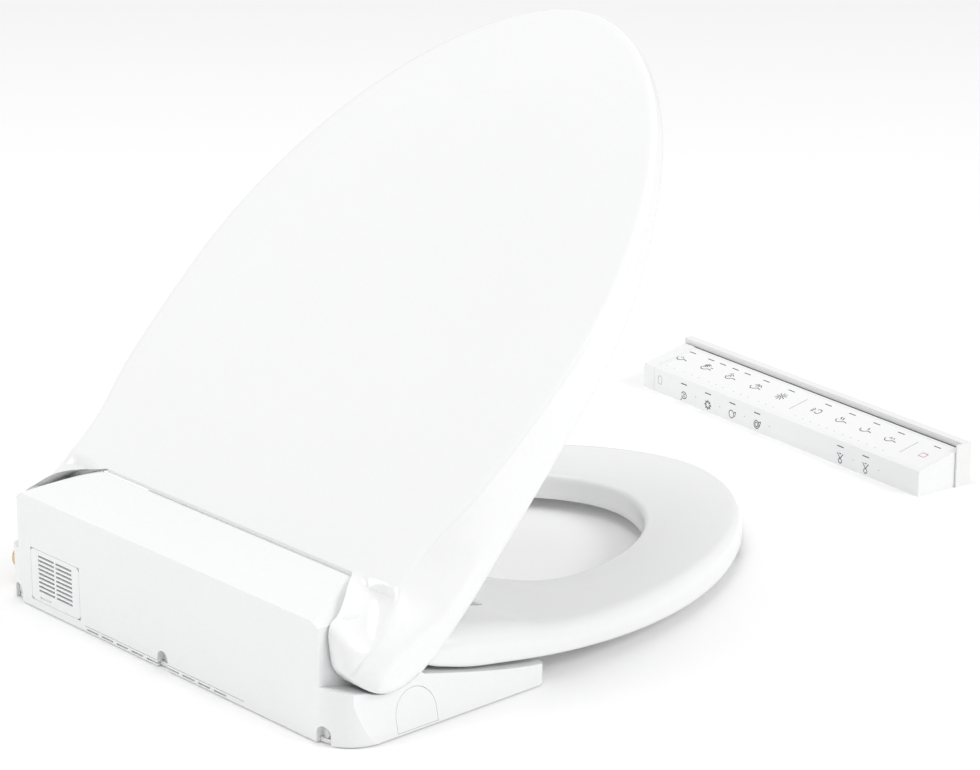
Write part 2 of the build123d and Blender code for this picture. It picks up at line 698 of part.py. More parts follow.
with BuildPart() as nozzle_guide:
    add(along_wand(guide_r, 9, wand_len - 4))
    add(block(-7, 7, nose_front_y + 18, nose_front_y + 32, nose_floor_z + nose_wall + gap,
              nozzle_exit_z + 8))
    add(along_wand(wand_r + gap, 0, wand_len), mode=Mode.SUBTRACT)
    with BuildSketch(wand_side.offset(-3)):
        with Locations((15, 45)):
            Rectangle(24, 130)
    extrude(amount=6, mode=Mode.SUBTRACT)
    with BuildSketch(pinion_plane.offset(-3)):
        Circle(8)
    extrude(amount=22, mode=Mode.SUBTRACT)
save(nozzle_guide.part, "nozzle_guide")

# ---------------------------------------------------------------- warm air dryer
with BuildPart() as dryer_case:
    add(post(dryer_x, dryer_y, dryer_z0, dryer_z1, dryer_r))
    add(block(duct_x0, duct_x1, nose_front_y + nose_wall + gap, dryer_y, dryer_z0 + 2, dryer_z1))
    add(post(dryer_x, dryer_y, dryer_z0 + 2, dryer_z1 - 2, dryer_r - 2), mode=Mode.SUBTRACT)
    add(block(duct_x0 + 1.5, duct_x1 - 1.5, nose_front_y, dryer_y, dryer_z0 + 3.5,
              dryer_z1 - 1.5), mode=Mode.SUBTRACT)
    add(post(dryer_x, dryer_y, dryer_z1 - 3, dryer_z1 + 1, 10), mode=Mode.SUBTRACT)
    add(post(dryer_x, dryer_y, dryer_z0 + 1, dryer_z1 - 5, 2))
save(dryer_case.part, "dryer_case")

dryer_fan = rotor(Plane.XY.offset(dryer_z0 + 3).move(Location((dryer_x, dryer_y, 0))),
                  dryer_r - 4.5, dryer_z1 - dryer_z0 - 7, 5, 2 + run, 12)
save(dryer_fan, "dryer_fan")

with BuildPart() as dryer_heater:
    with BuildSketch(Plane.XZ.offset(-(nose_front_y + 6))):
        with Locations(((duct_x0 + duct_x1) / 2, (dryer_z0 + dryer_z1) / 2 + 1)):
            Rectangle(duct_x1 - duct_x0 - 4, dryer_z1 - dryer_z0 - 7)
            with GridLocations(4, 4, 5, 3):
                Rectangle(2.4, 2.4, mode=Mode.SUBTRACT)
    extrude(amount=-4)
save(dryer_heater.part, "dryer_heater")

with BuildPart() as dryer_flap:
    add(block(duct_x0, duct_x1, nose_front_y, nose_front_y + flap_t, flap_z0,
              flap_z1 - flap_t / 2))
    add(bar_x(duct_x0, duct_x1, nose_front_y + flap_t / 2, flap_z1 - flap_t / 2, flap_t / 2))
save(dryer_flap.part, "dryer_flap")


# ---------------------------------------------------------------- heated seat ring
def ring_plan(inset, z0, z1):
    """Outer outline of the seat ring as a prism."""
    front = round_front(ring_half - inset, ring_wide_y - ring_front_y - inset, ring_power)
    rear_y0 = ring_rear_y - inset
    mid_half = (ring_half + ring_rear_half) / 2
    side = [(ring_rear_half - inset, rear_y0), (mid_half - inset, -95.0)]
    outline = side + [(x, ring_wide_y - y) for x, y in front]
    outline += [(-x, y) for x, y in reversed(side)]
    with BuildPart() as prism:
        with BuildSketch(Plane.XY.offset(z0)):
            with BuildLine():
                Spline(*outline)
                Line(outline[-1], outline[0])
            make_face()
        extrude(amount=z1 - z0)
    return prism.part


def seat_opening(grow, z0, z1):
    """Egg-shaped seat opening as a prism."""
    front = round_front(open_half + grow, open_mid_y - open_front_y + grow, 1.9)
    rear = round_front(open_half + grow, open_rear_y - open_mid_y + grow, 2.5)
    outline = [(x, open_mid_y - y) for x, y in front]
    outline += [(-x, open_mid_y + y) for x, y in rear[1:-1]]
    with BuildPart() as prism:
        with BuildSketch(Plane.XY.offset(z0)):
            with BuildLine():
                Spline(*outline, periodic=True)
            make_face()
        extrude(amount=z1 - z0)
    return prism.part


def ring_side(lower, drop, half=230):
    """Side view of the ring, its underside raised and its top lowered."""
    with BuildPart() as slab:
        with BuildSketch(Plane.YZ.offset(-half)):
            with BuildLine():
                bottom = [(y, z + lower) for y, z in ring_under]
                top = [(y, z - drop) for y, z in ring_over]
                Spline(*bottom)
                Line(bottom[-1], top[-1])
                Spline(*reversed(top))
                Line(top[0], bottom[0])
            make_face()
        extrude(amount=2 * half)
    return slab.part


def nose_bay(grow, z0, z1):
    """Room between the ring's arms for the nose and the centre housing."""
    return block(-ring_arm_inner - grow, ring_arm_inner + grow, bar_rear_y - grow, 60, z0, z1)


full_ring = ring_plan(0, 0, 80)
ring_hollow = ring_plan(ring_wall, 0, 80)
tray_plan = ring_plan(ring_wall + gap, 0, 80)
with BuildPart() as ring_shoulders:
    with BuildSketch(Plane.XZ.offset(-60)):
        with BuildLine():
            brim, crown, bend = (203.0, 38.0), (179.0, 62.0), (195.0, 52.0)
            Line((-brim[0], 0), (brim[0], 0))
            Line((brim[0], 0), brim)
            ThreePointArc(brim, bend, crown)
            Line(crown, (-crown[0], crown[1]))
            ThreePointArc((-crown[0], crown[1]), (-bend[0], bend[1]), (-brim[0], brim[1]))
            Line((-brim[0], brim[1]), (-brim[0], 0))
        make_face()
    extrude(amount=600)
ear_room = [bar_x(170, 240, hinge_y, hinge_z, ear_room_r),
            bar_x(-240, -170, hinge_y, hinge_z, ear_room_r)]

with BuildPart() as ring_void:
    add(ring_hollow)
    add(seat_opening(ring_wall, 0, 80), mode=Mode.SUBTRACT)
    add(nose_bay(ring_wall, 0, 80), mode=Mode.SUBTRACT)
    add(ring_side(-6, ring_wall), mode=Mode.INTERSECT)

with BuildPart() as seat_top:
    add(full_ring)
    add(seat_opening(0, 0, 80), mode=Mode.SUBTRACT)
    add(nose_bay(0, 0, 80), mode=Mode.SUBTRACT)
    add(ring_side(0, 0), mode=Mode.INTERSECT)
    add(ring_void.part, mode=Mode.SUBTRACT)
    add(ring_shoulders.part, mode=Mode.INTERSECT)
    for side in (-1, 1):
        x0, x1 = sorted((side * (ring_arm_inner), side * (ring_arm_inner + 30)))
        add(bar_x(x0, x1, seat_hinge_y, seat_hinge_z, lug_r).intersect(ring_side(0, 0)))
    # the bar behind the opening stands clear of the wand
    add(block(-bar_half, bar_half, open_rear_y - 4, bar_rear_y + 5, 0, bar_z), mode=Mode.SUBTRACT)
    for room in ear_room:
        add(room, mode=Mode.SUBTRACT)
    for side in (-1, 1):
        x0, x1 = sorted((side * (ring_arm_inner - 1), side * (ring_arm_inner + 27)))
        add(bar_x(x0, x1, seat_hinge_y, seat_hinge_z, ring_pin_r + run), mode=Mode.SUBTRACT)
save(seat_top.part, "seat_top")

with BuildPart() as seat_bottom:
    add(tray_plan)
    add(seat_opening(ring_wall + tray_gap, 0, 80), mode=Mode.SUBTRACT)
    add(nose_bay(ring_wall + tray_gap, 0, 80), mode=Mode.SUBTRACT)
    add(ring_side(0, 0), mode=Mode.INTERSECT)
    add(ring_side(tray_t, -20), mode=Mode.SUBTRACT)
    add(block(-bar_half, bar_half, open_rear_y - 4, bar_rear_y + 5, 0, bar_z + gap),
        mode=Mode.SUBTRACT)
    for side in (-1, 1):
        x0, x1 = sorted((side * ring_arm_inner, side * (ring_arm_inner + 30 + gap)))
        add(bar_x(x0, x1, seat_hinge_y, seat_hinge_z, lug_r + gap), mode=Mode.SUBTRACT)
    for room in ear_room:
        add(room, mode=Mode.SUBTRACT)
save(seat_bottom.part, "seat_bottom")


with BuildPart() as seat_heater:
    add(ring_plan(ring_wall + 4, 0, 80))
    add(seat_opening(ring_wall + 4, 0, 80), mode=Mode.SUBTRACT)
    add(nose_bay(ring_wall + 4, 0, 80), mode=Mode.SUBTRACT)
    add(block(-250, 250, open_rear_y - 5, 60, 0, 80), mode=Mode.SUBTRACT)
    add(ring_side(0, ring_wall + 0.1), mode=Mode.INTERSECT)
    add(ring_side(-20, ring_wall + 0.6), mode=Mode.SUBTRACT)
save(seat_heater.part, "seat_heater")

with BuildPart() as seat_bumpers:
    for x, y in bumper_spots:
        add(post(x, y, 0, 30, 9))
    add(ring_side(tray_t - 0.5, -30), mode=Mode.SUBTRACT)
    add(ring_side(0, -30), mode=Mode.SUBTRACT)
save(seat_bumpers.part, "seat_bumpers")

# ---------------------------------------------------------------- lid
lid_frame = Plane(
    origin=(0, hinge_y, hinge_z), x_dir=(1, 0, 0),
    z_dir=(0, sin(radians(lid_open)), cos(radians(lid_open))),
)
lid_side_frame = Plane(
    origin=(-ear_out - 30, hinge_y, hinge_z),
    x_dir=(0, cos(radians(lid_open)), -sin(radians(lid_open))), z_dir=(1, 0, 0),
)


def lid_plan(height, half_back, inset, back):
    """Lid outline at one height of the lid's own plane."""
    wide = ear_out - inset
    turn = -lid_back - lid_wide_t
    side = []
    for share in (0.0, 0.25, 0.5, 0.75):
        side.append((wide - (wide - half_back) * (1 - share) ** 2,
                     -lid_back - share * lid_wide_t))
    front = round_front(wide, lid_len - lid_wide_t - inset, lid_power)
    outline = side + [(x, turn - y) for x, y in front] + [(-x, y) for x, y in reversed(side)]
    with BuildSketch(lid_frame.offset(height)) as plan:
        with BuildLine():
            Spline(*outline)
            Polyline(outline[-1], (-half_back, back), (half_back, back), outline[0])
        make_face()
    return plan.sketch


def lid_block(inset, drop, back):
    """Solid lid between its top surface and the lowest skirt edge."""
    with BuildPart() as solid:
        loft([lid_plan(-46, ear_out - inset, inset, back),
              lid_plan(lid_top - drop, lid_back_half - inset, inset, back)], ruled=True)
    return solid.part


def lid_profile(x0, x1):
    """Side view of the lid: top surface, back edge and the skirt's lower edge."""
    with BuildPart() as slab:
        with BuildSketch(lid_side_frame.offset(ear_out + 30 + x0)):
            with BuildLine():
                Line(skirt_edge[-1], (skirt_edge[-1][0] - 3, skirt_edge[-1][1]))
                Line((skirt_edge[-1][0] - 3, skirt_edge[-1][1]),
                     (skirt_edge[-1][0] - 3, lid_top + 3))
                Line((skirt_edge[-1][0] - 3, lid_top + 3), (-lid_back, lid_top + 3))
                Line((-lid_back, lid_top + 3), skirt_edge[0])
                Spline(*skirt_edge)
            make_face()
        extrude(amount=x1 - x0)
    return slab.part


def ear(x0, x1):
    """Round hinge arm of the lid, running from its skirt to the hinge axis."""
    with BuildPart() as arm:
        with BuildSketch(lid_side_frame.offset(ear_out + 30 + x0)):
            Circle(ear_r)
            Polygon((-lid_back - 22, lid_top), (-lid_back, lid_top), (-12, ear_r - 6),
                    (-12, -4), (-lid_back - 22, -4), align=None)
            # flat top, level with the back edge
            with Locations(Location((-lid_back, lid_top + 0.3, 0), (0, 0, lid_open))):
                Rectangle(200, 60, align=(Align.CENTER, Align.MIN), mode=Mode.SUBTRACT)
        extrude(amount=x1 - x0)
    return arm.part


with BuildPart() as lid_shell:
    add(lid_block(0, 0, -lid_back + 10))
    add(lid_profile(-ear_out - 10, ear_out + 10), mode=Mode.INTERSECT)
    add(lid_block(lid_wall, 3.5, 20), mode=Mode.SUBTRACT)
    for side in (-1, 1):
        x0, x1 = sorted((side * ear_in, side * ear_out))
        add(ear(x0, x1))
    # the ears' upper outer edges slope in towards the back edge
    for side in (-1, 1):
        with BuildSketch(Plane(lid_frame.origin, x_dir=(1, 0, 0), z_dir=-lid_frame.y_dir)):
            Polygon((side * lid_back_half, lid_top), (side * (ear_out + 12), -40),
                    (side * (ear_out + 12), 60), (side * (lid_back_half - 24), 60), align=None)
        extrude(amount=lid_back + 24, both=True, mode=Mode.SUBTRACT)
    for side in (-1, 1):
        x0, x1 = sorted((side * (ear_in - 1), side * (lid_pin_x1 + 2 * gap)))
        add(bar_x(x0, x1, hinge_y, hinge_z, lid_pin_r + run), mode=Mode.SUBTRACT)
save(lid_shell.part, "lid_shell")

with BuildPart() as lid_inner_panel:
    add(lid_block(lid_wall + gap + 1.2, 3.5, -lid_back + 10))
    with BuildSketch(lid_frame.offset(lid_top - panel_drop - panel_t)):
        with Locations((0, -lid_back - 24)):
            Rectangle(3 * ear_out, 2 * lid_len, align=(Align.CENTER, Align.MAX))
    extrude(amount=panel_t, mode=Mode.INTERSECT)
    with BuildSketch(lid_frame.offset(lid_top - panel_drop)):
        with Locations(*[(x, y) for x in (-110, 0, 110) for y in (-110, -260, -400)]):
            Circle(5)
    extrude(amount=panel_drop - 3.5 - 0.2)
save(lid_inner_panel.part, "lid_inner_panel")

with BuildPart() as lid_bumpers:
    with BuildSketch(lid_frame.offset(lid_top - panel_drop - panel_t - 8.5)):
        with Locations((-70, -430), (70, -430)):
            Circle(7)
    extrude(amount=8.5)
save(lid_bumpers.part, "lid_bumpers")

# ---------------------------------------------------------------- hinge parts
with BuildPart() as lid_hinge_pins:
    for side in (-1, 1):
        x0, x1 = sorted((side * pin_x0, side * lid_pin_x1))
        add(bar_x(x0, x1, hinge_y, hinge_z, lid_pin_r))
save(lid_hinge_pins.part, "lid_hinge_pins")

with BuildPart() as lid_drive:
    add(bar_x(-drive_x1, -drive_x0, hinge_y, hinge_z, drive_r))
    add(bar_x(-drive_x1 - 1, -pin_x0 + 1, hinge_y, hinge_z, lid_pin_r + gap), mode=Mode.SUBTRACT)
save(lid_drive.part, "lid_drive")

with BuildPart() as lid_damper:
    add(bar_x(drive_x0, drive_x1, hinge_y, hinge_z, damper_r))
    add(bar_x(pin_x0 - 1, drive_x1 + 1, hinge_y, hinge_z, lid_pin_r + gap), mode=Mode.SUBTRACT)
save(lid_damper.part, "lid_damper")

with BuildPart() as seat_hinge_pins:
    for side in (-1, 1):
        x0, x1 = sorted((side * 112, side * 164))
        add(bar_x(x0, x1, seat_hinge_y, seat_hinge_z, ring_pin_r))
save(seat_hinge_pins.part, "seat_hinge_pins")

with BuildPart() as seat_dampers:
    for side in (-1, 1):
        x0, x1 = sorted((side * 98, side * (nose_half - nose_wall - 1)))
        add(bar_x(x0, x1, seat_hinge_y, seat_hinge_z, ring_damper_r))
        x0, x1 = sorted((side * 111, side * nose_half))
        add(bar_x(x0, x1, seat_hinge_y, seat_hinge_z, ring_pin_r + gap), mode=Mode.SUBTRACT)
save(seat_dampers.part, "seat_dampers")

# ---------------------------------------------------------------- water side
with BuildPart() as water_heater:
    add(block(-162, -102, 14, 48, pan_top + gap, 46, 8))
    for x in (-150, -114):
        add(post(x, 31, 40, 51, 4))
save(water_heater.part, "water_heater")

with BuildPart() as water_pump:
    with BuildSketch(Plane.XZ.offset(-30)):
        with Locations((-76, 20)):
            Circle(13)
    extrude(amount=-20)
    add(block(-88, -64, 32, 48, pan_top + gap, 12))
save(water_pump.part, "water_pump")

with BuildPart() as solenoid_valve:
    add(block(168, 186, inlet_y - 12, inlet_y + 5, pan_top + gap, 26, 3))
    add(post(177, inlet_y - 3, 20, 28.5, 7))
save(solenoid_valve.part, "solenoid_valve")

with BuildPart() as inlet_fitting:
    add(bar_x(186 + gap, base_half + 13, inlet_y, inlet_z, inlet_r))
    add(bar_x(186 + gap, base_half - 11, inlet_y, inlet_z, inlet_r + 1))
    add(bar_x(186, base_half + 14, inlet_y, inlet_z, 6.5), mode=Mode.SUBTRACT)
save(inlet_fitting.part, "inlet_fitting")

with BuildPart() as inlet_strainer:
    add(bar_x(base_half - 8, base_half + 6, inlet_y, inlet_z, 6.5))
    add(bar_x(base_half - 7, base_half + 7, inlet_y, inlet_z, 5.0), mode=Mode.SUBTRACT)
save(inlet_strainer.part, "inlet_strainer")

with BuildPart() as feed_hose:
    with BuildLine(Plane.XY.offset(hose_z)):
        FilletPolyline((177, inlet_y - 12.3), (177, hose_y), (-132, hose_y), (-132, 13.5),
                       radius=12)
    with BuildSketch(Plane(origin=(177, inlet_y - 12.3, hose_z), z_dir=(0, -1, 0))):
        Circle(3.5)
    sweep()
save(feed_hose.part, "feed_hose")

# ---------------------------------------------------------------- power and control
with BuildPart() as power_gland:
    add(bar_x(base_half - 14, base_half + 9, gland_y, gland_z, gland_r))
    add(bar_x(base_half - 14, base_half - 10, gland_y, gland_z, gland_r + 3))
    add(bar_x(base_half - 15, base_half + 10, gland_y, gland_z, cable_r), mode=Mode.SUBTRACT)
save(power_gland.part, "power_gland")

with BuildPart() as control_board_case:
    add(block(12, 88, 33, 51, pan_top + 9.0, 78, 2))
    add(block(14, 86, 35, 52, pan_top + 11.0, 76), mode=Mode.SUBTRACT)
    for x in (20, 80):
        add(block(x - 5, x + 5, 33, 51, pan_top + gap, pan_top + 9.0))
save(control_board_case.part, "control_board_case")

with BuildPart() as control_board:
    add(block(15, 85, 40, 41.6, pan_top + 12.0, 75))
    add(block(22, 42, 41.6, 49, 20, 44))
    add(block(50, 78, 41.6, 46, 50, 66))
    add(block(52, 66, 41.6, 50, 22, 36))
save(control_board.part, "control_board")

# ---------------------------------------------------------------- remote and its dock
def remote_plane(along=0.0, across=0.0, up=0.0):
    """Plane turned with the remote, moved along, across and up from its front corner."""
    a = radians(remote_turn)
    return Plane(
        origin=(remote_x + along * cos(a) - across * sin(a),
                remote_y + along * sin(a) + across * cos(a), up),
        x_dir=(cos(a), sin(a), 0), z_dir=(0, 0, 1),
    )


def remote_prism(x0, x1, inset, top=0.0):
    """Length of the remote's wedge-shaped section, its top face lowered by -top."""
    side = Plane(remote_plane(x0).origin, x_dir=remote_plane().y_dir, z_dir=remote_plane().x_dir)
    slope = (remote_back_h - remote_front_h) / remote_depth
    with BuildPart() as bar:
        with BuildSketch(side):
            Polygon(
                (-inset, inset), (-inset, remote_front_h + slope * inset + top),
                (-remote_depth + inset, remote_back_h - slope * inset + top),
                (-remote_depth + inset, remote_back_lift + inset),
                (-remote_depth + 8, inset), align=None,
            )
        extrude(amount=x1 - x0)
    return bar.part


case_len = remote_len - cap_len
panel_room = remote_prism(3, case_len - 3, 3, 2) - remote_prism(0, case_len, 1, -panel_seat)
with BuildPart() as remote_case:
    add(remote_prism(0, case_len, 0))
    fillet(remote_case.edges().group_by(SortBy.LENGTH)[-1].sort_by(Axis.Z)[-2:], 1.0)
    add(remote_prism(remote_wall, case_len + 1, remote_wall, -remote_wall - panel_seat),
        mode=Mode.SUBTRACT)
    add(panel_room, mode=Mode.SUBTRACT)
save(remote_case.part, "remote_case")

with BuildPart() as remote_touch_panel:
    add(remote_prism(3.2, case_len - 3.2, 3.2, -0.05))
    add(remote_prism(0, case_len, 1, -panel_seat + 0.1), mode=Mode.SUBTRACT)
save(remote_touch_panel.part, "remote_touch_panel")

with BuildPart() as remote_board:
    with BuildSketch(remote_plane(6, -38, 14)):
        Rectangle(200, 32, align=(Align.MIN, Align.MIN))
    extrude(amount=1.6)
    with BuildSketch(remote_plane(6, -38, 15.6)):
        with Locations((40, 16), (90, 12), (150, 18)):
            Rectangle(14, 10)
    extrude(amount=2.0)
save(remote_board.part, "remote_board")

with BuildPart() as remote_batteries:
    for across in (-16, -32):
        with BuildSketch(Plane(remote_plane(case_len - 52, across, 12).origin,
                               z_dir=remote_plane().x_dir)):
            Circle(7.1)
        extrude(amount=49)
        with BuildSketch(Plane(remote_plane(case_len - 3, across, 12).origin,
                               z_dir=remote_plane().x_dir)):
            Circle(2.6)
        extrude(amount=1.5)
save(remote_batteries.part, "remote_batteries")

with BuildPart() as remote_end_cap:
    add(remote_prism(case_len + gap, remote_len, 0))
    add(remote_prism(case_len, remote_len - remote_wall, remote_wall, -remote_wall),
        mode=Mode.SUBTRACT)
save(remote_end_cap.part, "remote_end_cap")

with BuildPart() as dock_plate:
    with BuildSketch(remote_plane(-2, -remote_depth - dock_gap - dock_t, 0)):
        Rectangle(remote_len + 4, dock_t, align=(Align.MIN, Align.MIN))
    extrude(amount=dock_h)
    with BuildSketch(remote_plane(-2, -remote_depth - dock_gap, 0)):
        Rectangle(1.6, dock_gap + 6, align=(Align.MIN, Align.MIN))
    extrude(amount=dock_h)
    for along in (50, remote_len - 50):
        with BuildSketch(Plane(remote_plane(along, -remote_depth, 20).origin,
                               z_dir=-remote_plane().y_dir)):
            Circle(2.2)
        extrude(amount=dock_gap + dock_t + 1, mode=Mode.SUBTRACT)
    for along in (110, remote_len - 110):
        with BuildSketch(Plane(remote_plane(along, -remote_depth - dock_gap, 20).origin,
                               x_dir=remote_plane().x_dir, z_dir=-remote_plane().y_dir)):
            Rectangle(24, 12)
        extrude(amount=3, mode=Mode.SUBTRACT)
save(dock_plate.part, "dock_plate")

with BuildPart() as dock_magnets:
    for along in (110, remote_len - 110):
        with BuildSketch(Plane(remote_plane(along, -remote_depth - dock_gap - 0.1, 20).origin,
                               x_dir=remote_plane().x_dir, z_dir=-remote_plane().y_dir)):
            Rectangle(23.8, 11.8)
        extrude(amount=2.8)
save(dock_magnets.part, "dock_magnets")
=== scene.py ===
"""Looks of the electric bidet seat: lid, seat ring, base unit and remote in satin and gloss white.

The frame's pieces get a finish. The lid, the ring's top, the remote's marks and a dark strip of
painted shade in the seam between the remote and its dock are modelled here in millimetres; the
camera, the lights and the finishes are in metres.
"""
from math import atan, cos, pi, radians, sin, sqrt

import bmesh
import bpy
from mathutils import Matrix, Vector


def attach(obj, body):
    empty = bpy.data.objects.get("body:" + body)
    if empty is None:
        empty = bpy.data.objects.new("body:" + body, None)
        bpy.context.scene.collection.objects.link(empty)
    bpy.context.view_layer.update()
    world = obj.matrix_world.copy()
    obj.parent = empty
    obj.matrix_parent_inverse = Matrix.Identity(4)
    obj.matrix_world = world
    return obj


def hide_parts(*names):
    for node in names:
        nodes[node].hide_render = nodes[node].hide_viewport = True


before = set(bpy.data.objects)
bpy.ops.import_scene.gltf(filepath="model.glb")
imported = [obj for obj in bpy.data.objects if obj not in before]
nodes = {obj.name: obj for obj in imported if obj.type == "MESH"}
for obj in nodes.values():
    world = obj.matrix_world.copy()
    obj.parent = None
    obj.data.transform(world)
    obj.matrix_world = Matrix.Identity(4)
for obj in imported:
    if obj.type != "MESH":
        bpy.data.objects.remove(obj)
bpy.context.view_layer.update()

# ------------------------------------------------------------------ camera
VIEW_AZIMUTH = radians(227.8)
VIEW_HEIGHT = radians(18.4)
VIEW_TARGET = Vector((0.3186, -0.5474, 0.0))
VIEW_DISTANCE = 3.101
VIEW_LENS = 128.6                # mm on a 36 mm sensor


def add_camera():
    """Camera behind the unit's right corner, level, looking a little down."""
    data = bpy.data.cameras.new("camera")
    data.lens = VIEW_LENS
    data.sensor_width = 36.0
    data.clip_end = 50.0
    camera = bpy.data.objects.new("camera", data)
    back = Vector((sin(VIEW_AZIMUTH) * cos(VIEW_HEIGHT),
                   -cos(VIEW_AZIMUTH) * cos(VIEW_HEIGHT), sin(VIEW_HEIGHT)))
    camera.location = VIEW_TARGET + back * VIEW_DISTANCE
    camera.rotation_euler = back.to_track_quat("Z", "Y").to_euler()
    bpy.context.scene.collection.objects.link(camera)
    bpy.context.scene.camera = camera


# ------------------------------------------------------------------ shared node groups
def new_group(name, inputs, outputs):
    """Empty shader group with named sockets, its inner input and output nodes and its links."""
    group = bpy.data.node_groups.new(name, "ShaderNodeTree")
    for label, kind, value in inputs:
        socket = group.interface.new_socket(label, in_out="INPUT", socket_type=kind)
        socket.default_value = value
    for label, kind in outputs:
        group.interface.new_socket(label, in_out="OUTPUT", socket_type=kind)
    start = group.nodes.new("NodeGroupInput")
    end = group.nodes.new("NodeGroupOutput")
    return group, start, end


def noise(group, vector, scale, detail=2.0, roughness=0.5):
    """Noise on a vector; the scale is a socket or a number."""
    node = group.nodes.new("ShaderNodeTexNoise")
    node.inputs["Detail"].default_value = detail
    node.inputs["Roughness"].default_value = roughness
    group.links.new(vector, node.inputs["Vector"])
    if isinstance(scale, (int, float)):
        node.inputs["Scale"].default_value = scale
    else:
        group.links.new(scale, node.inputs["Scale"])
    return node.outputs["Fac"]


def math(group, kind, a, b=None, clamp=False):
    """One Math node; a and b are sockets or numbers."""
    node = group.nodes.new("ShaderNodeMath")
    node.operation = kind
    node.use_clamp = clamp
    for slot, value in zip(node.inputs, (a, b)):
        if value is None:
            continue
        if isinstance(value, (int, float)):
            slot.default_value = value
        else:
            group.links.new(value, slot)
    return node.outputs["Value"]


def object_coordinates(group):
    """Coordinates fixed to the piece, in metres."""
    return group.nodes.new("ShaderNodeTexCoord").outputs["Object"]


def make_cloudy_tone():
    """Group: a colour that drifts softly towards a second one, with a finer mottle."""
    group, start, end = new_group(
        "cloudy_tone",
        [("Base", "NodeSocketColor", (1, 1, 1, 1)),
         ("Drift", "NodeSocketColor", (0.9, 0.9, 0.9, 1)),
         ("Patch Scale", "NodeSocketFloat", 6.0), ("Mottle Scale", "NodeSocketFloat", 300.0),
         ("Amount", "NodeSocketFloat", 0.5)],
        [("Color", "NodeSocketColor")])
    place = object_coordinates(group)
    patches = noise(group, place, start.outputs["Patch Scale"], detail=3.0)
    mottle = noise(group, place, start.outputs["Mottle Scale"], detail=1.0)
    both = math(group, "MULTIPLY", math(group, "ADD", patches, mottle), 0.5)
    spread = group.nodes.new("ShaderNodeMapRange")
    spread.inputs["From Min"].default_value = 0.35
    spread.inputs["From Max"].default_value = 0.65
    group.links.new(both, spread.inputs["Value"])
    share = math(group, "MULTIPLY", spread.outputs["Result"], start.outputs["Amount"], clamp=True)
    mix = group.nodes.new("ShaderNodeMix")
    mix.data_type = "RGBA"
    group.links.new(share, mix.inputs["Factor"])
    group.links.new(start.outputs["Base"], mix.inputs["A"])
    group.links.new(start.outputs["Drift"], mix.inputs["B"])
    group.links.new(mix.outputs["Result"], end.inputs["Color"])
    return group


WEAR_GAIN = 6.0                  # how soon a bend counts as a full edge
WEAR_DULLING = 0.12              # how much rougher a worn edge is
RELIEF_DEPTH, SCATTER_DEPTH = 0.001, 0.004


def make_edge_wear():
    """Group: a mask that is 1 on worn convex edges and 0 on open faces, broken up by noise."""
    group, start, end = new_group(
        "edge_wear",
        [("Radius", "NodeSocketFloat", 0.001), ("Strength", "NodeSocketFloat", 0.5),
         ("Break Scale", "NodeSocketFloat", 90.0)],
        [("Mask", "NodeSocketFloat")])
    bevel = group.nodes.new("ShaderNodeBevel")
    bevel.samples = 4
    group.links.new(start.outputs["Radius"], bevel.inputs["Radius"])
    geometry = group.nodes.new("ShaderNodeNewGeometry")
    turn = group.nodes.new("ShaderNodeVectorMath")
    turn.operation = "DOT_PRODUCT"
    group.links.new(bevel.outputs["Normal"], turn.inputs[0])
    group.links.new(geometry.outputs["Normal"], turn.inputs[1])
    bend = math(group, "SUBTRACT", 1.0, turn.outputs["Value"])
    bend = math(group, "MULTIPLY", bend, WEAR_GAIN, clamp=True)
    breaks = noise(group, object_coordinates(group), start.outputs["Break Scale"], detail=3.0)
    broken = math(group, "MULTIPLY", bend, breaks)
    worn = math(group, "MULTIPLY", broken, start.outputs["Strength"], clamp=True)
    group.links.new(worn, end.inputs["Mask"])
    return group


def make_moulded_skin():
    """Group: bump height of a moulded surface, long ripples and a fine etched grain."""
    group, start, end = new_group(
        "moulded_skin",
        [("Ripple Scale", "NodeSocketFloat", 12.0), ("Ripple", "NodeSocketFloat", 0.5),
         ("Grain Scale", "NodeSocketFloat", 1500.0), ("Grain", "NodeSocketFloat", 0.5)],
        [("Height", "NodeSocketFloat")])
    place = object_coordinates(group)
    ripples = noise(group, place, start.outputs["Ripple Scale"], detail=1.0)
    grain = noise(group, place, start.outputs["Grain Scale"], detail=2.0, roughness=0.6)
    height = math(group, "ADD", math(group, "MULTIPLY", ripples, start.outputs["Ripple"]),
                  math(group, "MULTIPLY", grain, start.outputs["Grain"]))
    group.links.new(height, end.inputs["Height"])
    return group


def make_handled_gloss():
    """Group: roughness that varies with handling, smoother patches among slightly duller ones."""
    group, start, end = new_group(
        "handled_gloss",
        [("Roughness", "NodeSocketFloat", 0.3), ("Spread", "NodeSocketFloat", 0.05),
         ("Scale", "NodeSocketFloat", 14.0)],
        [("Roughness", "NodeSocketFloat")])
    patches = noise(group, object_coordinates(group), start.outputs["Scale"], detail=4.0)
    offset = math(group, "MULTIPLY", math(group, "SUBTRACT", patches, 0.5), start.outputs["Spread"])
    total = math(group, "ADD", offset, start.outputs["Roughness"], clamp=True)
    group.links.new(total, end.inputs["Roughness"])
    return group


GROUPS = {
    "cloudy_tone": make_cloudy_tone(),
    "edge_wear": make_edge_wear(),
    "moulded_skin": make_moulded_skin(),
    "handled_gloss": make_handled_gloss(),
}


def place_group(tree, name, **values):
    """One of the shared groups in a material, with this material's own values."""
    node = tree.nodes.new("ShaderNodeGroup")
    node.node_tree = GROUPS[name]
    for label, value in values.items():
        node.inputs[label.replace("_", " ")].default_value = value
    return node


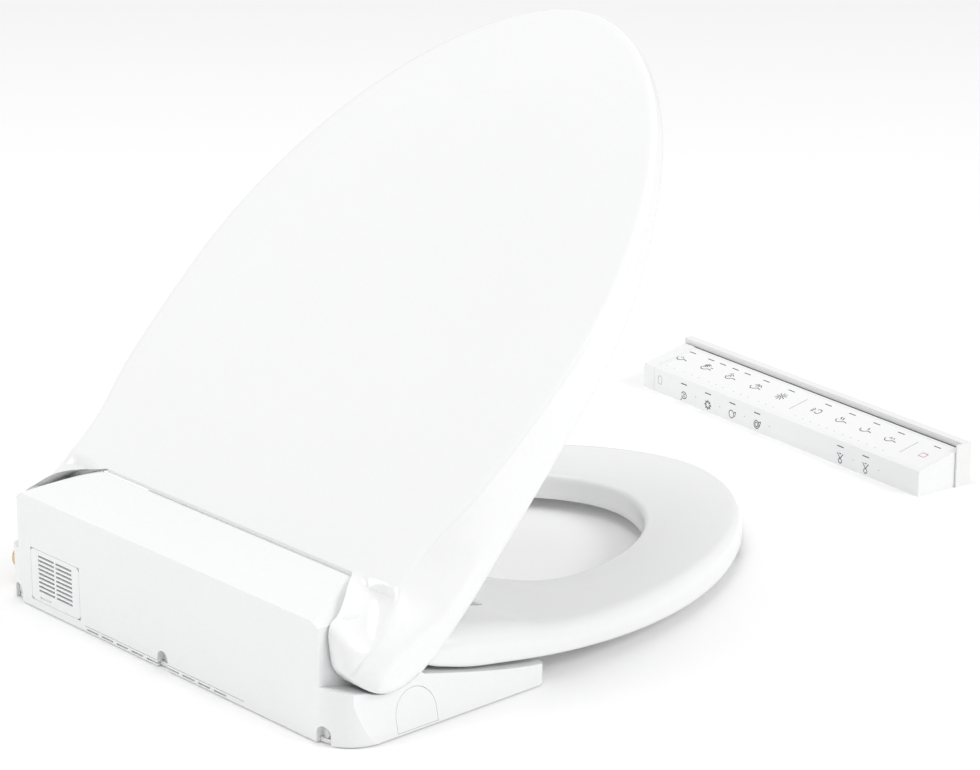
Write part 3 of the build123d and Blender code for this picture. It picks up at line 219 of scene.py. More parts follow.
def finish_material(name, base, drift, amount=0.4, roughness=0.3, spread=0.06, patch=6.0,
                    mottle=300.0, ripple=0.3, ripple_scale=12.0, grain=0.2, grain_scale=1500.0,
                    bump=0.05, worn=None, wear=0.3, wear_radius=0.0012, metallic=0.0, coat=0.0,
                    coat_roughness=0.1, ior=1.5, subsurface=0.0, sheen=0.0):
    """Material of one finish: cloudy colour, worn edges, handled gloss and a moulded skin."""
    material = bpy.data.materials.new(name + "_finish")
    material.use_nodes = True
    tree = material.node_tree
    shader = tree.nodes["Principled BSDF"]
    tone = place_group(tree, "cloudy_tone", Base=(*base, 1), Drift=(*drift, 1),
                       Patch_Scale=patch, Mottle_Scale=mottle, Amount=amount)
    edges = place_group(tree, "edge_wear", Radius=wear_radius, Strength=wear)
    mix = tree.nodes.new("ShaderNodeMix")
    mix.data_type = "RGBA"
    tree.links.new(edges.outputs["Mask"], mix.inputs["Factor"])
    tree.links.new(tone.outputs["Color"], mix.inputs["A"])
    mix.inputs["B"].default_value = (*(worn or base), 1)
    tree.links.new(mix.outputs["Result"], shader.inputs["Base Color"])
    gloss = place_group(tree, "handled_gloss", Roughness=roughness, Spread=spread)
    duller = tree.nodes.new("ShaderNodeMath")
    duller.operation = "MULTIPLY_ADD"
    tree.links.new(edges.outputs["Mask"], duller.inputs[0])
    duller.inputs[1].default_value = WEAR_DULLING
    tree.links.new(gloss.outputs["Roughness"], duller.inputs[2])
    tree.links.new(duller.outputs["Value"], shader.inputs["Roughness"])
    skin = place_group(tree, "moulded_skin", Ripple_Scale=ripple_scale, Ripple=ripple,
                       Grain_Scale=grain_scale, Grain=grain)
    relief = tree.nodes.new("ShaderNodeBump")
    relief.inputs["Strength"].default_value = bump
    relief.inputs["Distance"].default_value = RELIEF_DEPTH
    tree.links.new(skin.outputs["Height"], relief.inputs["Height"])
    tree.links.new(relief.outputs["Normal"], shader.inputs["Normal"])
    shader.inputs["Metallic"].default_value = metallic
    shader.inputs["IOR"].default_value = ior
    shader.inputs["Coat Weight"].default_value = coat
    shader.inputs["Coat Roughness"].default_value = coat_roughness
    shader.inputs["Subsurface Weight"].default_value = subsurface
    shader.inputs["Subsurface Scale"].default_value = SCATTER_DEPTH
    shader.inputs["Sheen Weight"].default_value = sheen
    return material


WHITE = (0.86, 0.865, 0.87)
WARM_WHITE = (0.845, 0.845, 0.84)
MATERIALS = {
    "housing_white": finish_material("housing_white", WHITE, (0.82, 0.82, 0.822), roughness=0.36,
                                     grain=0.6, bump=0.10),
    "lid_white": finish_material("lid_white", (0.87, 0.872, 0.876), (0.84, 0.842, 0.848),
                                 roughness=0.2, coat=0.4, coat_roughness=0.08, grain=0.05,
                                 bump=0.04),
    "seat_white": finish_material("seat_white", (0.87, 0.872, 0.875), (0.84, 0.84, 0.842),
                                  roughness=0.22, coat=0.3, coat_roughness=0.1, grain=0.05,
                                  bump=0.04),
    "inner_white": finish_material("inner_white", WARM_WHITE, (0.78, 0.78, 0.77), roughness=0.5,
                                   grain=1.0, bump=0.2),
    "dark_plastic": finish_material("dark_plastic", (0.03, 0.03, 0.033), (0.055, 0.055, 0.06),
                                    roughness=0.45, worn=(0.12, 0.12, 0.125), grain=1.0, bump=0.25),
    "grey_plastic": finish_material("grey_plastic", (0.42, 0.43, 0.44), (0.33, 0.34, 0.35),
                                    roughness=0.42, worn=(0.58, 0.59, 0.6), grain=1.0, bump=0.2),
    "rubber": finish_material("rubber", (0.045, 0.045, 0.047), (0.08, 0.08, 0.08), roughness=0.8,
                              worn=(0.14, 0.14, 0.14), grain=1.5, bump=0.4, sheen=0.1),
    "steel": finish_material("steel", (0.62, 0.63, 0.64), (0.5, 0.51, 0.53), roughness=0.28,
                             worn=(0.8, 0.8, 0.81), metallic=1.0, grain=0.6, bump=0.1),
    "brass": finish_material("brass", (0.72, 0.52, 0.24), (0.55, 0.38, 0.17), roughness=0.25,
                             worn=(0.86, 0.66, 0.36), metallic=1.0, grain=0.3, bump=0.08),
    "filter_black": finish_material("filter_black", (0.02, 0.02, 0.02), (0.05, 0.05, 0.05),
                                    roughness=0.9, grain=3.0, grain_scale=500.0, bump=0.9),
    "board_green": finish_material("board_green", (0.02, 0.16, 0.07), (0.02, 0.1, 0.05),
                                   roughness=0.35, worn=(0.3, 0.4, 0.2), grain=0.4, bump=0.15),
    "foil": finish_material("foil", (0.75, 0.75, 0.74), (0.6, 0.6, 0.6), roughness=0.3,
                            metallic=1.0, ripple=2.0, ripple_scale=80.0, bump=0.3),
    "hose": finish_material("hose", (0.75, 0.77, 0.78), (0.66, 0.68, 0.7), roughness=0.3,
                            subsurface=0.3, grain=0.2, bump=0.05),
    "panel_white": finish_material("panel_white", (0.88, 0.88, 0.885), (0.85, 0.85, 0.855),
                                   roughness=0.3, coat=0.2, grain=0.3, bump=0.06),
    "battery": finish_material("battery", (0.1, 0.12, 0.16), (0.07, 0.08, 0.1), roughness=0.3,
                               worn=(0.5, 0.5, 0.5), coat=0.5),
    "magnet": finish_material("magnet", (0.3, 0.3, 0.31), (0.2, 0.2, 0.21), roughness=0.35,
                              worn=(0.55, 0.55, 0.56), metallic=1.0, grain=0.8, bump=0.2),
}


def finish_nodes():
    """Every CAD node gets its slot's detailed material."""
    for node in nodes.values():
        for place in node.material_slots:
            place.material = MATERIALS[place.material.name.split(".")[0]]


# ------------------------------------------------------------------ mesh helpers
MM = 0.001                       # metres in a millimetre
SEAM_MERGE, SHORTEST_EDGE = 0.03, 0.02


def lerp(a, b, share):
    """Value or point a share of the way from a to b."""
    return a + (b - a) * share


def ease(value, start, end):
    """0 before start, 1 after end, smooth between."""
    share = min(max((value - start) / (end - start), 0.0), 1.0)
    return share * share * (3 - 2 * share)


def through(points, value):
    """Smooth height, at one place, of a curve given as (place, height) pairs."""
    points = sorted(points)
    if value <= points[0][0]:
        return points[0][1]
    if value >= points[-1][0]:
        return points[-1][1]
    i = max(k for k in range(len(points) - 1) if points[k][0] <= value)
    (x0, y0), (x1, y1) = points[i], points[i + 1]
    before = points[i - 1] if i > 0 else (2 * x0 - x1, 2 * y0 - y1)
    after = points[i + 2] if i + 2 < len(points) else (2 * x1 - x0, 2 * y1 - y0)
    span = x1 - x0
    slope0 = (y1 - before[1]) / (x1 - before[0]) * span
    slope1 = (after[1] - y0) / (after[0] - x0) * span
    t = (value - x0) / span
    return ((2 * t**3 - 3 * t**2 + 1) * y0 + (t**3 - 2 * t**2 + t) * slope0
            + (3 * t**2 - 2 * t**3) * y1 + (t**3 - t**2) * slope1)


def joined_piece(name, patches, material, body, sharp=40.0):
    """One piece from patches, each a list of rows of points: seams merged, faces outwards."""
    mesh = bmesh.new()
    for rows in patches:
        grid = [[mesh.verts.new(point) for point in row] for row in rows]
        for near, far in zip(grid, grid[1:]):
            for i in range(len(near) - 1):
                mesh.faces.new((near[i], near[i + 1], far[i + 1], far[i]))
    bmesh.ops.remove_doubles(mesh, verts=mesh.verts, dist=SEAM_MERGE * MM)
    bmesh.ops.dissolve_degenerate(mesh, edges=mesh.edges, dist=SHORTEST_EDGE * MM)
    bmesh.ops.recalc_face_normals(mesh, faces=mesh.faces)
    data = bpy.data.meshes.new(name)
    mesh.to_mesh(data)
    mesh.free()
    for face in data.polygons:
        face.use_smooth = True
    data.set_sharp_from_angle(angle=radians(sharp))
    data.materials.append(material)
    piece = bpy.data.objects.new(name, data)
    bpy.context.scene.collection.objects.link(piece)
    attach(piece, body)
    return piece


def mirrored(rows):
    """The same rows on the other side of the middle plane."""
    return [[Vector((-p.x, p.y, p.z)) for p in row] for row in rows]


# ------------------------------------------------------------------ lid, in its own plane, mm
LID_HINGE = Vector((0, 12, 72))
LID_TILT = radians(42.1)
LID_BACK, LID_LENGTH, LID_WIDE = 30.0, 474.0, 188.0
LID_TOP, LID_HALF, LID_BACK_HALF, LID_POWER = 10.7, 206.0, 187.0, 1.87
LID_CROWN = 2.2                        # how far the top bulges in the middle
LID_WALL = 3.0
LID_EDGE = 2.4                         # rounding of the top's rim
SKIRT_FADE = 56.7                      # depth below the top where the skirt is at its widest
ARM_FLARE = 0.58                       # how far an arm's side leans out for each mm down
ARM_RIM_DROP, ARM_RIM_POWER = 7.0, 10  # how far an arm's side falls in at its rim, and how late
ARM_BLEND = (-115, -45)                # along the lid, where the skirt's side turns into the arm's
LIP_ROUND, LIP_ROUND_SHARE = 1.4, 0.12  # rounding of the hollow's lip, and its share of the face
RIDGE_TOP = 0.45                       # highest the ridge may stand, as a share of the round end
TIP_INNER = 0.75                       # inner end of a section, as a share of the rim's place
MIDDLE_STEPS = 18                      # rows that fill the rounded front's middle
LID_TURN = -LID_BACK - LID_WIDE        # widest place, where the rounded front starts
ARM_R, ARM_INNER, ARM_ROOT = 38.0, 177.5, -52.0
SKIRT_EDGE = [(-30, -38.5), (-70, -37.5), (-148, -31.0), (-227, -21.0), (-319, -11.5),
              (-363, -5.0), (-430, -1.3), (-504, 0.2)]
ARM_LIP_X = [(-30, 141), (-18, 156), (-6, 168), (6, 174.8), (18, 177.8), (38, 178)]
ARM_LIP_W = [(-30, LID_TOP), (-18, 22.0), (-6, 28.2), (6, 30.6), (20, 32.3), (38, 10)]
RIDGE_X = [(ARM_ROOT, 187.8), (-35, 189.5), (-12, 194.0), (5, 197.5), (14, 198.5), (38, 196)]
RIDGE_W = [(ARM_ROOT, LID_TOP), (-35, 9.0), (-12, 8.0), (5, 6.6), (14, 6.0), (26, 8.0), (38, 4.0)]
SCOOP = [(-60, 0.0), (ARM_ROOT, 1.0), (-38, 3.5), (-28, 5.0), (-12, 6.5), (6, 5.0), (14, 1.0),
         (21, -3.0), (38, -4.0)]
BACK_LIP = (-28.2, 8.4)                # back edge's lip beside the barrel, along and up
TOP_SHARES = (0.0, 0.04, 0.12, 0.24, 0.38, 0.52, 0.66, 0.8, 0.91, 1.0)
SIDE_STEPS = 9
TIP_STEPS = 44
ARM_PLACES = (37.8, 37.2, 36.2, 34.6, 32.4, 29.6, 26.4, 23, 19.5, 16, 12.5, 9, 5, 1, -3, -7, -11,
              -15, -20, -25)
REAR_PLACES = (-30, -34, -38, -42, -47, -52, -57, -62, -68, -76, -86, -98, -112, -128, -145,
               -163, -182, -200)


def lid_point(x, v, w):
    """Point of the lid's plane in the row frame: across, along towards the back, and up."""
    y = v * cos(LID_TILT) + w * sin(LID_TILT)
    z = -v * sin(LID_TILT) + w * cos(LID_TILT)
    return (LID_HINGE + Vector((x, y, z))) * MM


def lid_crown(x, v):
    """Height of the lid's top, a low crown that fades out at the back edge."""
    along = max((LID_TURN - v) / (LID_LENGTH - LID_WIDE), 0.0)
    reach = (abs(x) / LID_HALF) ** 2 + along**2
    return LID_TOP + LID_CROWN * max(1 - reach, 0.0) * ease(-v, LID_BACK, LID_BACK + 110)


def lid_side(v, w):
    """Outer half width of the lid behind its widest place, with the hinge arms."""
    share = min(max((-LID_BACK - v) / LID_WIDE, 0.0), 1.0)
    low = (LID_TOP - w) / SKIRT_FADE
    skirt = LID_HALF - (LID_HALF - LID_BACK_HALF) * (1 - low) * (1 - share) ** 2
    arm = min(through(RIDGE_X, v) + (through(RIDGE_W, v) - w) * ARM_FLARE, LID_HALF)
    rim = min(sqrt(max(v, 0.0) ** 2 + w * w) / ARM_R, 1.0)
    arm -= ARM_RIM_DROP * (1 - sqrt(max(1 - rim**ARM_RIM_POWER, 0.0))) * ease(v, -14, 12)
    return lerp(skirt, arm, ease(v, *ARM_BLEND))


def side_points(ridge_w, low, outer):
    """Rim rounding, then the side down to its lower edge: (across, up), outer giving the width."""
    across = outer(ridge_w - LID_EDGE) - LID_EDGE
    points = []
    for angle in (radians(30), radians(60)):
        points.append((across + LID_EDGE * sin(angle), ridge_w - LID_EDGE * (1 - cos(angle))))
    for i in range(SIDE_STEPS):
        w = lerp(ridge_w - LID_EDGE, low + 1.0, i / (SIDE_STEPS - 1))
        points.append((outer(w), w))
    points.append((outer(low) - 1.0, low))
    return across, points


def arm_row(v):
    """Closed section of one hinge arm: hollow face, side, inner face, underside of the lip."""
    reach = sqrt(ARM_R**2 - v * v) if v > -ARM_R else 4.0
    lip = Vector((through(ARM_LIP_X, v), through(ARM_LIP_W, v)))
    ridge_w = through(RIDGE_W, v)
    if v > 0:
        lip.y = min(lip.y, reach)
        ridge_w = min(ridge_w, RIDGE_TOP * reach)
    low = -reach if v > -6 else through(SKIRT_EDGE, v)
    across, side = side_points(ridge_w, low, lambda w: lid_side(v, w))
    chord = Vector((across, ridge_w)) - lip
    normal = Vector((-chord.y, chord.x)).normalized()
    sag = through(SCOOP, v)
    face = []
    for share in TOP_SHARES:
        rounding = LIP_ROUND * (1 - min(share / LIP_ROUND_SHARE, 1.0)) ** 2
        face.append(lip + chord * share - normal * (4 * share * (1 - share) * sag + rounding))
    floor_w = -reach if v > 0 else max(-reach, low + 1.5)
    skin = side[-1][0] + 1.0 - LID_WALL
    inner = [(lerp(skin, ARM_INNER, 0.0 if v < 0 else 0.5), low),
             (lerp(skin, ARM_INNER, 0.0 if v < 0 else 0.8), floor_w),
             (ARM_INNER + 1.0, floor_w), (ARM_INNER, floor_w + 1.0)]
    share = min(max((ARM_INNER - lip.x) / chord.x, 0.0), 1.0)
    above = lip.y + chord.y * share - 4 * share * (1 - share) * sag
    roof = max(above - LID_WALL, floor_w + 2.0)
    lip_roof = max(lip.y - LID_WALL, roof)
    hang = min(lip.x + 1.0, ARM_INNER)
    under = [(ARM_INNER, roof - 1.0)]
    under += [(lerp(ARM_INNER, hang, k), lerp(roof, lip_roof, k)) for k in (0.3, 0.7, 1.0)]
    section = [(p.x, p.y) for p in face] + side + inner + under
    return [lid_point(x, v, w) for x, w in section]


def lid_row(v):
    """Section of the lid's side at one place behind its widest: top, side, skirt, underside."""
    lip_x = lerp(ARM_LIP_X[0][1], TIP_INNER * LID_HALF, ease(-v, LID_BACK, -LID_TURN))
    low = through(SKIRT_EDGE, v)
    across, side = side_points(LID_TOP, low, lambda w: lid_side(v, w))
    top = [(x, lid_crown(x, v)) for x in (lerp(lip_x, across, share) for share in TOP_SHARES)]
    root = ease(v, -62, ARM_ROOT)                # the arms' thick root fades into the skirt
    roof = LID_TOP - LID_WALL
    skin = lid_side(v, roof) - LID_WALL
    inner_x = lerp(skin, ARM_INNER, root)
    foot = side[-1][0] + 1.0 - LID_WALL
    ledge = max(-sqrt(max(ARM_R**2 - v * v, 0.0)), low + 1.5) if v > -ARM_R else -4.0
    shelf = lerp(roof - 2.0, ledge, root)
    inner = [(foot, low), (lid_side(v, shelf) - LID_WALL, shelf), (inner_x + 1.0, shelf + 0.3),
             (inner_x, shelf + 1.0)]
    under = [(inner_x, roof - 0.5), (lerp(inner_x, lip_x, 0.3), roof),
             (lerp(inner_x, lip_x, 0.7), roof), (lip_x, roof)]
    return [lid_point(x, v, w) for x, w in top + side + inner + under]


def tip_row(angle):
    """Section across the rim of the rounded front, from the widest place round to the tip."""
    length = LID_LENGTH - LID_WIDE
    rim = Vector((LID_HALF * max(cos(angle), 0.0) ** (2 / LID_POWER),
                  -length * max(sin(angle), 0.0) ** (2 / LID_POWER)))
    out = Vector((max(rim.x / LID_HALF, 1e-6) ** (LID_POWER - 1) / LID_HALF,
                  -max(-rim.y / length, 1e-6) ** (LID_POWER - 1) / length)).normalized()
    low = through(SKIRT_EDGE, LID_TURN + rim.y)
    across, side = side_points(LID_TOP, low, lambda w: 0.0)
    edge = rim + out * across
    section = []
    for share in TOP_SHARES:
        spot = lerp(rim * TIP_INNER, edge, share)
        section.append((spot, lid_crown(spot.x, LID_TURN + spot.y)))
    section += [(rim + out * x, w) for x, w in side]
    roof = LID_TOP - LID_WALL
    skin = rim - out * LID_WALL
    section += [(skin, low), (skin, roof - 2.0), (skin, roof - 1.5), (skin, roof - 1.0)]
    section.append((skin, roof - 0.5))
    section += [(lerp(skin, rim * TIP_INNER, share), roof) for share in (0.3, 0.7, 1.0)]
    return [lid_point(spot.x, LID_TURN + spot.y, w) for spot, w in section]


def filled_middle(rear, front):
    """Rows between the two sides of the lid, then rows that fill the rounded front's middle."""
    shares = [cos(pi / 2 * j / TIP_STEPS) for j in range(TIP_STEPS + 1)]
    shares += [-share for share in reversed(shares[:-1])]
    rows = [[Vector((edge.x * share, edge.y, edge.z)) for share in shares] for edge in rear]
    start = rows[-1]
    rim = front + [Vector((-p.x, p.y, p.z)) for p in reversed(front[:-1])]
    for i in range(1, MIDDLE_STEPS + 1):
        rows.append([lerp(a, b, i / MIDDLE_STEPS) for a, b in zip(start, rim)])
    return rows


def build_lid():
    """Lid cover, skirt and hinge arms as one smooth moulding."""
    end = [lid_point(lerp(ARM_INNER, 190, 0.5), ARM_R, 0.0)] * len(arm_row(0))
    arm = [end] + [arm_row(v) for v in ARM_PLACES]
    rear = [lid_row(v) for v in REAR_PLACES]
    tip = [tip_row(pi / 2 * j / TIP_STEPS) for j in range(TIP_STEPS + 1)]
    half = arm + rear + tip
    lips = [[row[-1], row[0]] for row in arm + rear[:1]]
    patches = [half, mirrored(half), lips, mirrored(lips)]
    back = rear + tip[:1]
    top = filled_middle([row[0] for row in back], [row[0] for row in tip])
    underside = filled_middle([row[-1] for row in back], [row[-1] for row in tip])
    lip = [lid_point(point.x / MM, *BACK_LIP) for point in top[0]]
    for corner in (0, -1):
        lip[corner] = lerp(top[0][corner], underside[0][corner], 0.5)
    patches += [top, underside, [top[0], lip, underside[0]]]
    cover = joined_piece("lid_cover", patches, MATERIALS["lid_white"], "lid", sharp=50.0)
    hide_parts("lid_shell")


# ------------------------------------------------------------------ seat ring, mm
RING_HALF, RING_REAR_HALF, RING_MID_HALF = 200.0, 192.0, 196.0
RING_REAR_Y, RING_MID_Y, RING_WIDE_Y, RING_FRONT_Y = -18.0, -95.0, -185.0, -480.0
RING_POWER = 1.85
BAY_HALF, BAR_Y, BAR_UNDER = 140.0, -121.5, 22.0
OPEN_HALF, OPEN_MID_Y, OPEN_FRONT_Y, OPEN_REAR_Y = 120.0, -235.0, -387.0, -165.0
RING_UNDER = [(-18, 47), (-25, 41), (-58, 30.3), (-86, 25.2), (-143, 18), (-200, 14),
              (-300, 10), (-480, 9)]
RING_OVER = [(-18, 60), (-40, 60), (-60, 58), (-107, 48), (-148, 38), (-220, 34),
             (-350, 32), (-480, 30)]
OPEN_FRONT_POWER, OPEN_REAR_POWER = 1.9, 2.5   # how square the opening's ends are
OUTER_ROUND, OPEN_ROUND = (17.0, 11.0), 4.5    # top's outer edge, rear and front, and its opening
FOOT_WIDE, FOOT_HIGH = 3.0, 4.0        # lower rim: how wide it is, and how far up it is hollow
RING_DISH = 2.0                        # how far the top falls towards the opening
RIM_DEPTHS = (0.0, 0.6, 1.8, 3.6, 6.2, 9.6, 14.0, 20.0)
DEEPEST_RIM = 0.48                     # share of the width that one rim may take up
DEEP = 99.0                            # further in than any rounding reaches
BAR_STEPS, BAR_START = 8, radians(-52)
BAR_SHARES = (0.0, 0.02, 0.06, 0.12, 0.25, 0.5, 0.75, 0.88, 0.94, 0.98, 1.0)


def ring_outline():
    """Outer edge on +X, from the arm's rear corner round to the tip."""
    points = [Vector((lerp(RING_REAR_HALF, RING_MID_HALF, i / 12),
                      lerp(RING_REAR_Y, RING_MID_Y, i / 12))) for i in range(13)]
    for i in range(1, 8):
        share = i / 8
        points.append(Vector((lerp(RING_MID_HALF, RING_HALF, share * (2 - share)),
                              lerp(RING_MID_Y, RING_WIDE_Y, share))))
    for j in range(45):
        angle = pi / 2 * j / 44
        points.append(Vector((RING_HALF * max(cos(angle), 0.0) ** (2 / RING_POWER),
                              RING_WIDE_Y + (RING_FRONT_Y - RING_WIDE_Y)
                              * sin(angle) ** (2 / RING_POWER))))
    return points


def opening_edge(angle):
    """Edge of the opening on +X, the angle running from its rear, -90, to its front, 90."""
    if angle > 0:
        reach, power = OPEN_FRONT_Y - OPEN_MID_Y, OPEN_FRONT_POWER
    else:
        reach, power = OPEN_REAR_Y - OPEN_MID_Y, OPEN_REAR_POWER
    return Vector((OPEN_HALF * max(cos(angle), 0.0) ** (2 / power),
                   OPEN_MID_Y + reach * abs(sin(angle)) ** (2 / power)))


BAY_CORNER = Vector((BAY_HALF, BAR_Y))
BAR_JOINT = opening_edge(BAR_START)


def ring_top(y, outside, inside):
    """Height of the ring's top at some depth in from its outer edge and from its opening."""
    top = through(RING_OVER, y) - RING_DISH * (1 - ease(inside, 3, 60)) * ease(-y, 125, 190)
    outer_round = lerp(*OUTER_ROUND, ease(-y, 60, 200))
    for depth, radius in ((outside, outer_round), (inside, OPEN_ROUND)):
        if depth < radius:
            top -= radius - sqrt(radius**2 - (radius - depth) ** 2)
    return top


def ring_row(outer, inner, free_end, edge=0.0):
    """Section across the ring; edge is how far its inner end lies from the bar's free edges."""
    width = (inner - outer).length
    inward = (inner - outer) / width
    depths = [min(depth, width * DEEPEST_RIM) for depth in RIM_DEPTHS]
    under = through(RING_UNDER, outer.y)
    section = [(outer + inward * FOOT_WIDE, under + FOOT_HIGH),
               (outer + inward * FOOT_WIDE, under + 0.6), (outer + inward * 0.8, under)]
    rim = ring_top(outer.y, 0.0, DEEP)
    section += [(outer, lerp(under + 1.0, rim, share)) for share in (0.0, 0.25, 0.5, 0.75)]
    for place in depths + [width / 2] + [width - depth for depth in reversed(depths)]:
        spot = outer + inward * place
        section.append((spot, ring_top(spot.y, place, edge + width - place)))
    if free_end:
        under = through(RING_UNDER, inner.y)
        lip = ring_top(inner.y, DEEP, 0.0)
        section += [(inner, lerp(under + 1.0, lip, share)) for share in (0.75, 0.5, 0.25, 0.0)]
        section += [(inner - inward * 0.8, under), (inner - inward * FOOT_WIDE, under + 0.6),
                    (inner - inward * FOOT_WIDE, under + FOOT_HIGH)]
    else:
        section.append((inner, BAR_UNDER))
    return [Vector((spot.x, spot.y, z)) * MM for spot, z in section]


def bar_row(share, floor=None):
    """Line along the bar behind the opening, from side to side; share 0 is the bar's rear edge."""
    points = []
    for i in range(2 * BAR_STEPS + 1):
        across = 1 - i / BAR_STEPS
        rear = Vector((BAY_CORNER.x * across, BAY_CORNER.y))
        front = opening_edge(lerp(-pi / 2, BAR_START, abs(across)))
        front.x = front.x if across > 0 else -front.x
        spot = lerp(rear, front, share)
        depth = (front - rear).length
        z = ring_top(spot.y, DEEP, depth * min(share, 1 - share)) if floor is None else floor
        points.append(Vector((spot.x, spot.y, z)) * MM)
    return points


def build_ring():
    """Top shell of the heated seat ring with its two hinge arms."""
    outline = ring_outline()
    arm = [p for p in outline if p.y > BAR_Y]
    band = [p for p in outline if p.y <= BAR_Y]
    start = len(BAR_SHARES) - 1                  # band points beside the bar's ends
    end_run = BAR_JOINT - BAY_CORNER
    rows = [ring_row(p, Vector((BAY_HALF, p.y)), True) for p in arm]
    turn = [arm[-1]] + band[:start]
    rows.append(ring_row(turn[0], BAY_CORNER, True))
    ends = [ring_row(point, BAY_CORNER + end_run * share, False,
                     end_run.length * min(share, 1 - share))
            for point, share in zip(turn, BAR_SHARES)]
    rest = band[start - 1:]
    front = [ring_row(point, opening_edge(lerp(BAR_START, pi / 2, k / (len(rest) - 1))), True)
             for k, point in enumerate(rest)]
    side = [rows, ends, front]
    side += [[[row[-1], row[0]] for row in part] for part in (rows, ends, front)]
    heel = rows[0]
    side.append([[heel[i], heel[-1 - i]] for i in range(len(heel) // 2 + 1)])
    patches = side + [mirrored(patch) for patch in side]
    patches.append([bar_row(share) for share in BAR_SHARES])
    rear, front_edge = bar_row(0.0, BAR_UNDER), bar_row(1.0, BAR_UNDER)
    patches += [[bar_row(0.0), rear], [bar_row(1.0), front_edge], [rear, front_edge]]
    ring = joined_piece("seat_ring", patches, MATERIALS["seat_white"], "seat", sharp=50.0)
    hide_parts("seat_top")


# ------------------------------------------------------------------ remote's printed marks, mm
REMOTE_CORNER = Vector((-126.0, -611.0))
REMOTE_TURN = radians(-5.7)
REMOTE_LENGTH, REMOTE_DEPTH = 352.0, 46.0
REMOTE_FRONT_H, REMOTE_BACK_H = 21.6, 31.6
INK_WIDTH, INK_SKIN = 0.75, 0.04       # line width, and how far the ink stands out
DOT_RADIUS = 0.55
SEAM_SHADE_GAP = (0.15, 1.35)              # painted shade: a dark strip standing in for the shade in the seam between the remote and its dock
SEAM_SHADE_UNDER, SEAM_SHADE_OVER, SEAM_SHADE_INSET = 4.0, 31.2, 0.3


def remote_place(along, across, height):
    """World position from the remote's own length, depth and height."""
    run = Vector((cos(REMOTE_TURN), sin(REMOTE_TURN)))
    spot = REMOTE_CORNER + run * along + Vector((-run.y, run.x)) * across
    return Vector((spot.x, spot.y, height)) * MM


def on_top(along, across, lift=INK_SKIN):
    """Place on the sloped top; across runs negative towards the dock."""
    slope = lerp(REMOTE_FRONT_H, REMOTE_BACK_H, -across / REMOTE_DEPTH)
    return remote_place(along, across, slope + lift)


def on_front(along, height, lift=INK_SKIN):
    """Place on the upright front; height runs from the underside up."""
    return remote_place(along, lift, height)


def arc(x, y, radius, start, end, tall=1.0, steps=12):
    """Points along part of a circle or an oval, angles in degrees."""
    return [(x + radius * cos(radians(lerp(start, end, i / steps))),
             y + radius * tall * sin(radians(lerp(start, end, i / steps))))
            for i in range(steps + 1)]


def softened(line, times=2):
    """The same line with its corners cut, so that it bends gently."""
    for _ in range(times):
        cut = [line[0]]
        for (x0, y0), (x1, y1) in zip(line, line[1:]):
            cut += [(lerp(x0, x1, share), lerp(y0, y1, share)) for share in (0.25, 0.75)]
        line = cut + [line[-1]]
    return line


def ink_line(line, place, x, y, turned=1.0, width=INK_WIDTH):
    """Patch of one printed stroke round a closed section, at a place on the remote."""
    rows = []
    for i, (px, py) in enumerate(line):
        before, after = line[max(i - 1, 0)], line[min(i + 1, len(line) - 1)]
        run = Vector((after[0] - before[0], after[1] - before[1]))
        side = Vector((-run.y, run.x)).normalized() * width / 2
        left = (x + px + side.x, y + turned * (py + side.y))
        right = (x + px - side.x, y + turned * (py - side.y))
        rows.append([place(*left), place(*right), place(*right, -INK_SKIN), place(*left, -INK_SKIN),
                     place(*left)])
    return rows


LAP = softened([(-7.5, 1.2), (-5, 0.2), (-2.5, 0.6), (-0.5, 2.6), (2.5, 3.2), (5, 1.8),
                (5.6, -0.6)])
SQUARE = [(-3.2, -2.6), (3.2, -2.6), (3.2, 2.6), (-3.2, 2.6), (-3.2, -2.6)]
TALL_BOX = softened([(0, -3.6), (2.4, -3.6), (2.4, 3.6), (-2.4, 3.6), (-2.4, -3.6), (0, -3.6)], 1)


def fan_of_lines(x, y, near, far, start, end, count):
    """Short strokes that spread from one point."""
    angles = [radians(lerp(start, end, i / (count - 1))) for i in range(count)]
    return [[(x + near * cos(a), y + near * sin(a)), (x + far * cos(a), y + far * sin(a))]
            for a in angles]


def wave(x, y, size):
    """A small upright wave, as for warm air."""
    third = size / 3
    return softened([(x, y), (x + third, y + third), (x - third, y + 2 * third), (x, y + size)])


